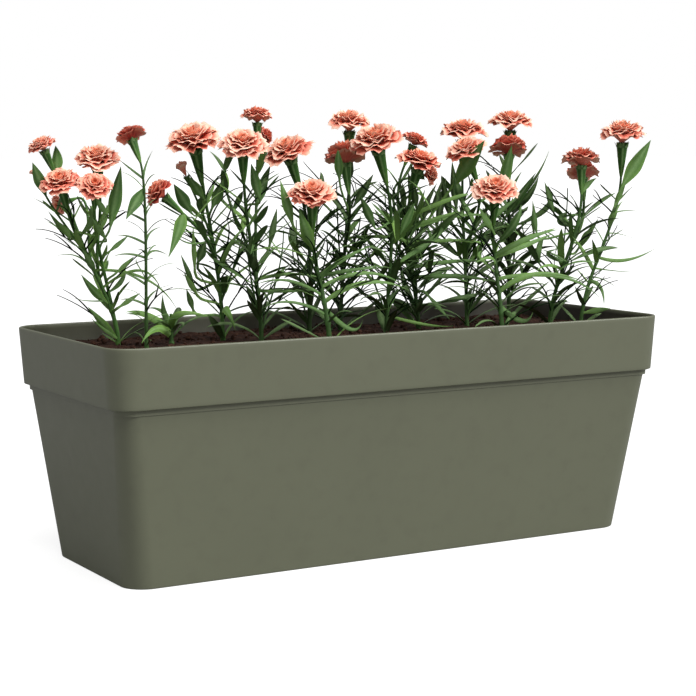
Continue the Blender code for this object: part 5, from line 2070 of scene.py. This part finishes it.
    def wires(self, skin: Skin, garden: Garden) -> None:
        """Adds thin twigs that rise, arch over and fork once.

        Args:
            skin: What takes them.
            garden: What they keep clear of.
        """
        rng = self.rng
        count = self.growth.wires
        foot = self.shoots[0].at(rng.uniform(*self.twig_from, count))
        heading = rng.choice((0.0, np.pi), count) + rng.normal(-0.3, 0.8, count)
        rule = LeafRule.drawn(rng, foot, heading, Group.TWIGS)
        spine, _ = rule.spines(1.0, self.twig_steps)
        at = self.twig_fork
        fork = LeafRule(
            spine[:, at],
            unit(spine[:, at + 1] - spine[:, at]),
            np.full(count, self.fork_radius),
            heading + rng.choice((-self.fork_turn, self.fork_turn), count),
            rule.length * self.fork_share,
            np.ones(count),
            rng.uniform(*self.fork_rise, count),
            rng.uniform(*self.fork_fall, count),
            rng.normal(0, 0.5, count),
        )
        twigs, _ = fork.spines(1.0, self.twig_steps)
        lines = np.concatenate((spine, twigs))
        lines = lines[garden.clear(lines)]
        radii = np.broadcast_to(np.linspace(*self.twig_radii, self.twig_steps), lines.shape[:2])
        points, walls, ends = tubes(lines, radii, 5)
        # The twigs are near black: painted shade of the thin stems deep in the tangle.
        skin.add(points, (walls, ends), 0.02, 0.0)

    def tuft(self, skin: Skin, garden: Garden) -> None:
        """Adds a rosette of wide arching leaves, spread evenly round a short stem.

        Args:
            skin: What takes them.
            garden: What they keep clear of.
        """
        number = np.arange(self.rosette)
        lowest, spread = self.rosette_from
        foot = self.shoots[0].at(lowest + spread * number / self.rosette)
        heading = number * self.golden_turn + self.rng.normal(0, 0.15, self.rosette)
        rule = LeafRule.drawn(self.rng, foot, heading, Group.ROSETTE)
        self.narrow_leaves(skin, rule, garden)

    def build(self, node: str, garden: Garden, finish: bpy.types.Material) -> None:
        """Makes the plant's green parts one piece in place of its solid.

        Args:
            node: The solid's name.
            garden: What its leaves keep clear of.
            finish: The greens' finish.
        """
        skin = Skin()
        # The plant's painted shade darkens its stems too.
        shade = self.growth.shade
        side_manner = replace(self.manner, spacing=self.manner.spacing * self.side_spacing)
        for order, shoot in enumerate(self.shoots):
            manner = side_manner if order else self.manner
            first = self.first_pair["branch" if order else "stem"]
            rule, joints = self.leaf_rule(shoot, manner, first)
            shoot.grow(skin, joints, self.stem_tone - shade)
            if self.heads:
                self.narrow_leaves(skin, rule, garden)
        if self.heads:
            for sprig in self.sprigs(garden):
                rule, joints = self.leaf_rule(sprig, side_manner, self.first_pair["sprig"])
                sprig.grow(skin, joints, self.sprig_tone - shade, sides=6)
                self.narrow_leaves(skin, rule, garden)
            self.narrow_leaves(skin, self.strap_rule(), garden)
            self.wires(skin, garden)
        else:
            self.tuft(skin, garden)
        for head in self.heads:
            Calyx(head).grow(skin, self.rng)
        self.key_leaves(skin)
        piece = skin.piece(f"{node}_greens", finish, CREASE)
        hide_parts(node)
        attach(piece, BODY)
        LOG.info("%s: %d points", piece.name, skin.count)


# The studio


@dataclass(frozen=True)
class Studio:
    """A pale floor, soft even light and the camera."""

    azimuth: float = -30.176
    elevation: float = 8.654
    roll: float = -0.184
    distance: float = 1.790133
    target: float = 0.12
    lens: float = 93.176
    shift: tuple[float, float] = (0.002154, 0.104385)
    sensor: float = 36.0
    farthest: float = 200.0
    ambient: float = 0.42
    floor_radius: float = 60000.0
    floor_corners: int = 64

    def camera(self) -> None:
        """A camera at its azimuth and elevation round the target, turned by its roll."""
        yaw, pitch, roll = np.radians((self.azimuth, self.elevation, self.roll))
        back = np.array(
            (np.sin(yaw) * np.cos(pitch), -np.cos(yaw) * np.cos(pitch), np.sin(pitch))
        )
        right = unit(np.cross(-back, UP))
        top = np.cross(right, -back)
        turned = right * np.cos(roll) + top * np.sin(roll)
        top = -right * np.sin(roll) + top * np.cos(roll)
        place = np.array((0.0, 0.0, self.target)) + back * self.distance
        lens = bpy.data.cameras.new("camera")
        lens.sensor_width = self.sensor
        lens.lens = self.lens
        lens.shift_x, lens.shift_y = self.shift
        lens.clip_end = self.farthest
        camera = bpy.data.objects.new("camera", lens)
        matrix = np.eye(4)
        matrix[:3] = np.column_stack((turned, top, back, place))
        camera.matrix_world = Matrix(matrix.tolist())
        bpy.context.scene.collection.objects.link(camera)
        bpy.context.scene.camera = camera

    def sun(
        self, name: str, azimuth: float, elevation: float, strength: float, soft: float
    ) -> None:
        """Adds a wide soft light from far away.

        Args:
            name: The light's name.
            azimuth: Its direction round the object, in degrees.
            elevation: Its height above the object, in degrees.
            strength: How strong it is.
            soft: How wide it looks, in degrees.
        """
        lamp = bpy.data.lights.new(name, "SUN")
        lamp.energy = strength
        lamp.angle = np.radians(soft)
        light = bpy.data.objects.new(name, lamp)
        light.rotation_euler = (np.radians(90 - elevation), 0.0, np.radians(azimuth))
        bpy.context.scene.collection.objects.link(light)

    def world(self) -> None:
        """White behind the object, and an even soft light on it."""
        world = bpy.data.worlds.new("studio")
        world.use_nodes = True
        nodes, links = world.node_tree.nodes, world.node_tree.links
        glow = nodes["Background"]
        glow.inputs["Color"].default_value = (self.ambient,) * 3 + (1.0,)
        backdrop = nodes.new("ShaderNodeBackground")
        backdrop.inputs["Color"].default_value = (1.0, 1.0, 1.0, 1.0)
        path = nodes.new("ShaderNodeLightPath")
        choice = nodes.new("ShaderNodeMixShader")
        links.new(path.outputs["Is Camera Ray"], choice.inputs[0])
        links.new(glow.outputs[0], choice.inputs[1])
        links.new(backdrop.outputs[0], choice.inputs[2])
        links.new(choice.outputs[0], nodes["World Output"].inputs["Surface"])
        bpy.context.scene.world = world

    def floor(self) -> None:
        """A wide round sheet under the object."""
        count = self.floor_corners
        number = np.arange(count)
        turn = number * 2 * np.pi / count
        rim = np.stack((np.cos(turn), np.sin(turn), np.zeros(count)), -1) * self.floor_radius
        fan = np.stack((number, np.roll(number, -1), np.full(count, count)), -1)
        skin = Skin()
        skin.add(np.concatenate((rim, np.zeros((1, 3)))), (fan,), 0.5)
        floor = skin.piece("floor", PaleFloor().material())
        floor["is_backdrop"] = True

    def build(self) -> None:
        """Everything but the object."""
        scene = bpy.context.scene
        scene.view_settings.view_transform = "Standard"
        self.camera()
        self.world()
        self.sun("overhead", azimuth=-20.0, elevation=68.0, strength=2.0, soft=30.0)
        self.sun("key", azimuth=38.0, elevation=34.0, strength=2.6, soft=20.0)
        self.floor()


def main() -> None:
    """Builds the looks in order, each in place of its solid."""
    logging.basicConfig(level=logging.INFO, format="%(name)s %(message)s")
    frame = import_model()
    Studio().build()

    trough = Trough().build(SagePlastic().material())
    bed = SoilBed().build(PottingSoil().material())
    for piece, slot in ((trough, "planter_plastic"), (bed, "potting_soil")):
        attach(piece, BODY)
        LOG.info("%s: %d faces", piece.name, len(piece.data.polygons))

    nodes = frame["nodes"]
    blooms = sorted(name for name in nodes if name.startswith("bloom_"))
    heads = {name: Head.of_node(nodes[name]) for name in blooms}
    garden = Garden(list(heads.values()))
    petal = SalmonPetal().material()
    green = CarnationGreen().material()
    for name, head in heads.items():
        _, plant, order = name.split("_")
        seed = int(plant) * SEEDS_PER_PLANT + int(order)
        Bloom().build(name, head, seed, petal)
        LOG.info("%s: %.0f mm wide", name, head.width)
    for name in sorted(name for name in nodes if name[:4] in ("carn", "leaf")):
        number = name.split("_")[-1]
        own = [head for label, head in heads.items() if label.split("_")[1] == number]
        Plant(int(number), nodes[name], own).build(name, garden, green)


if __name__ == "__main__":
    main()
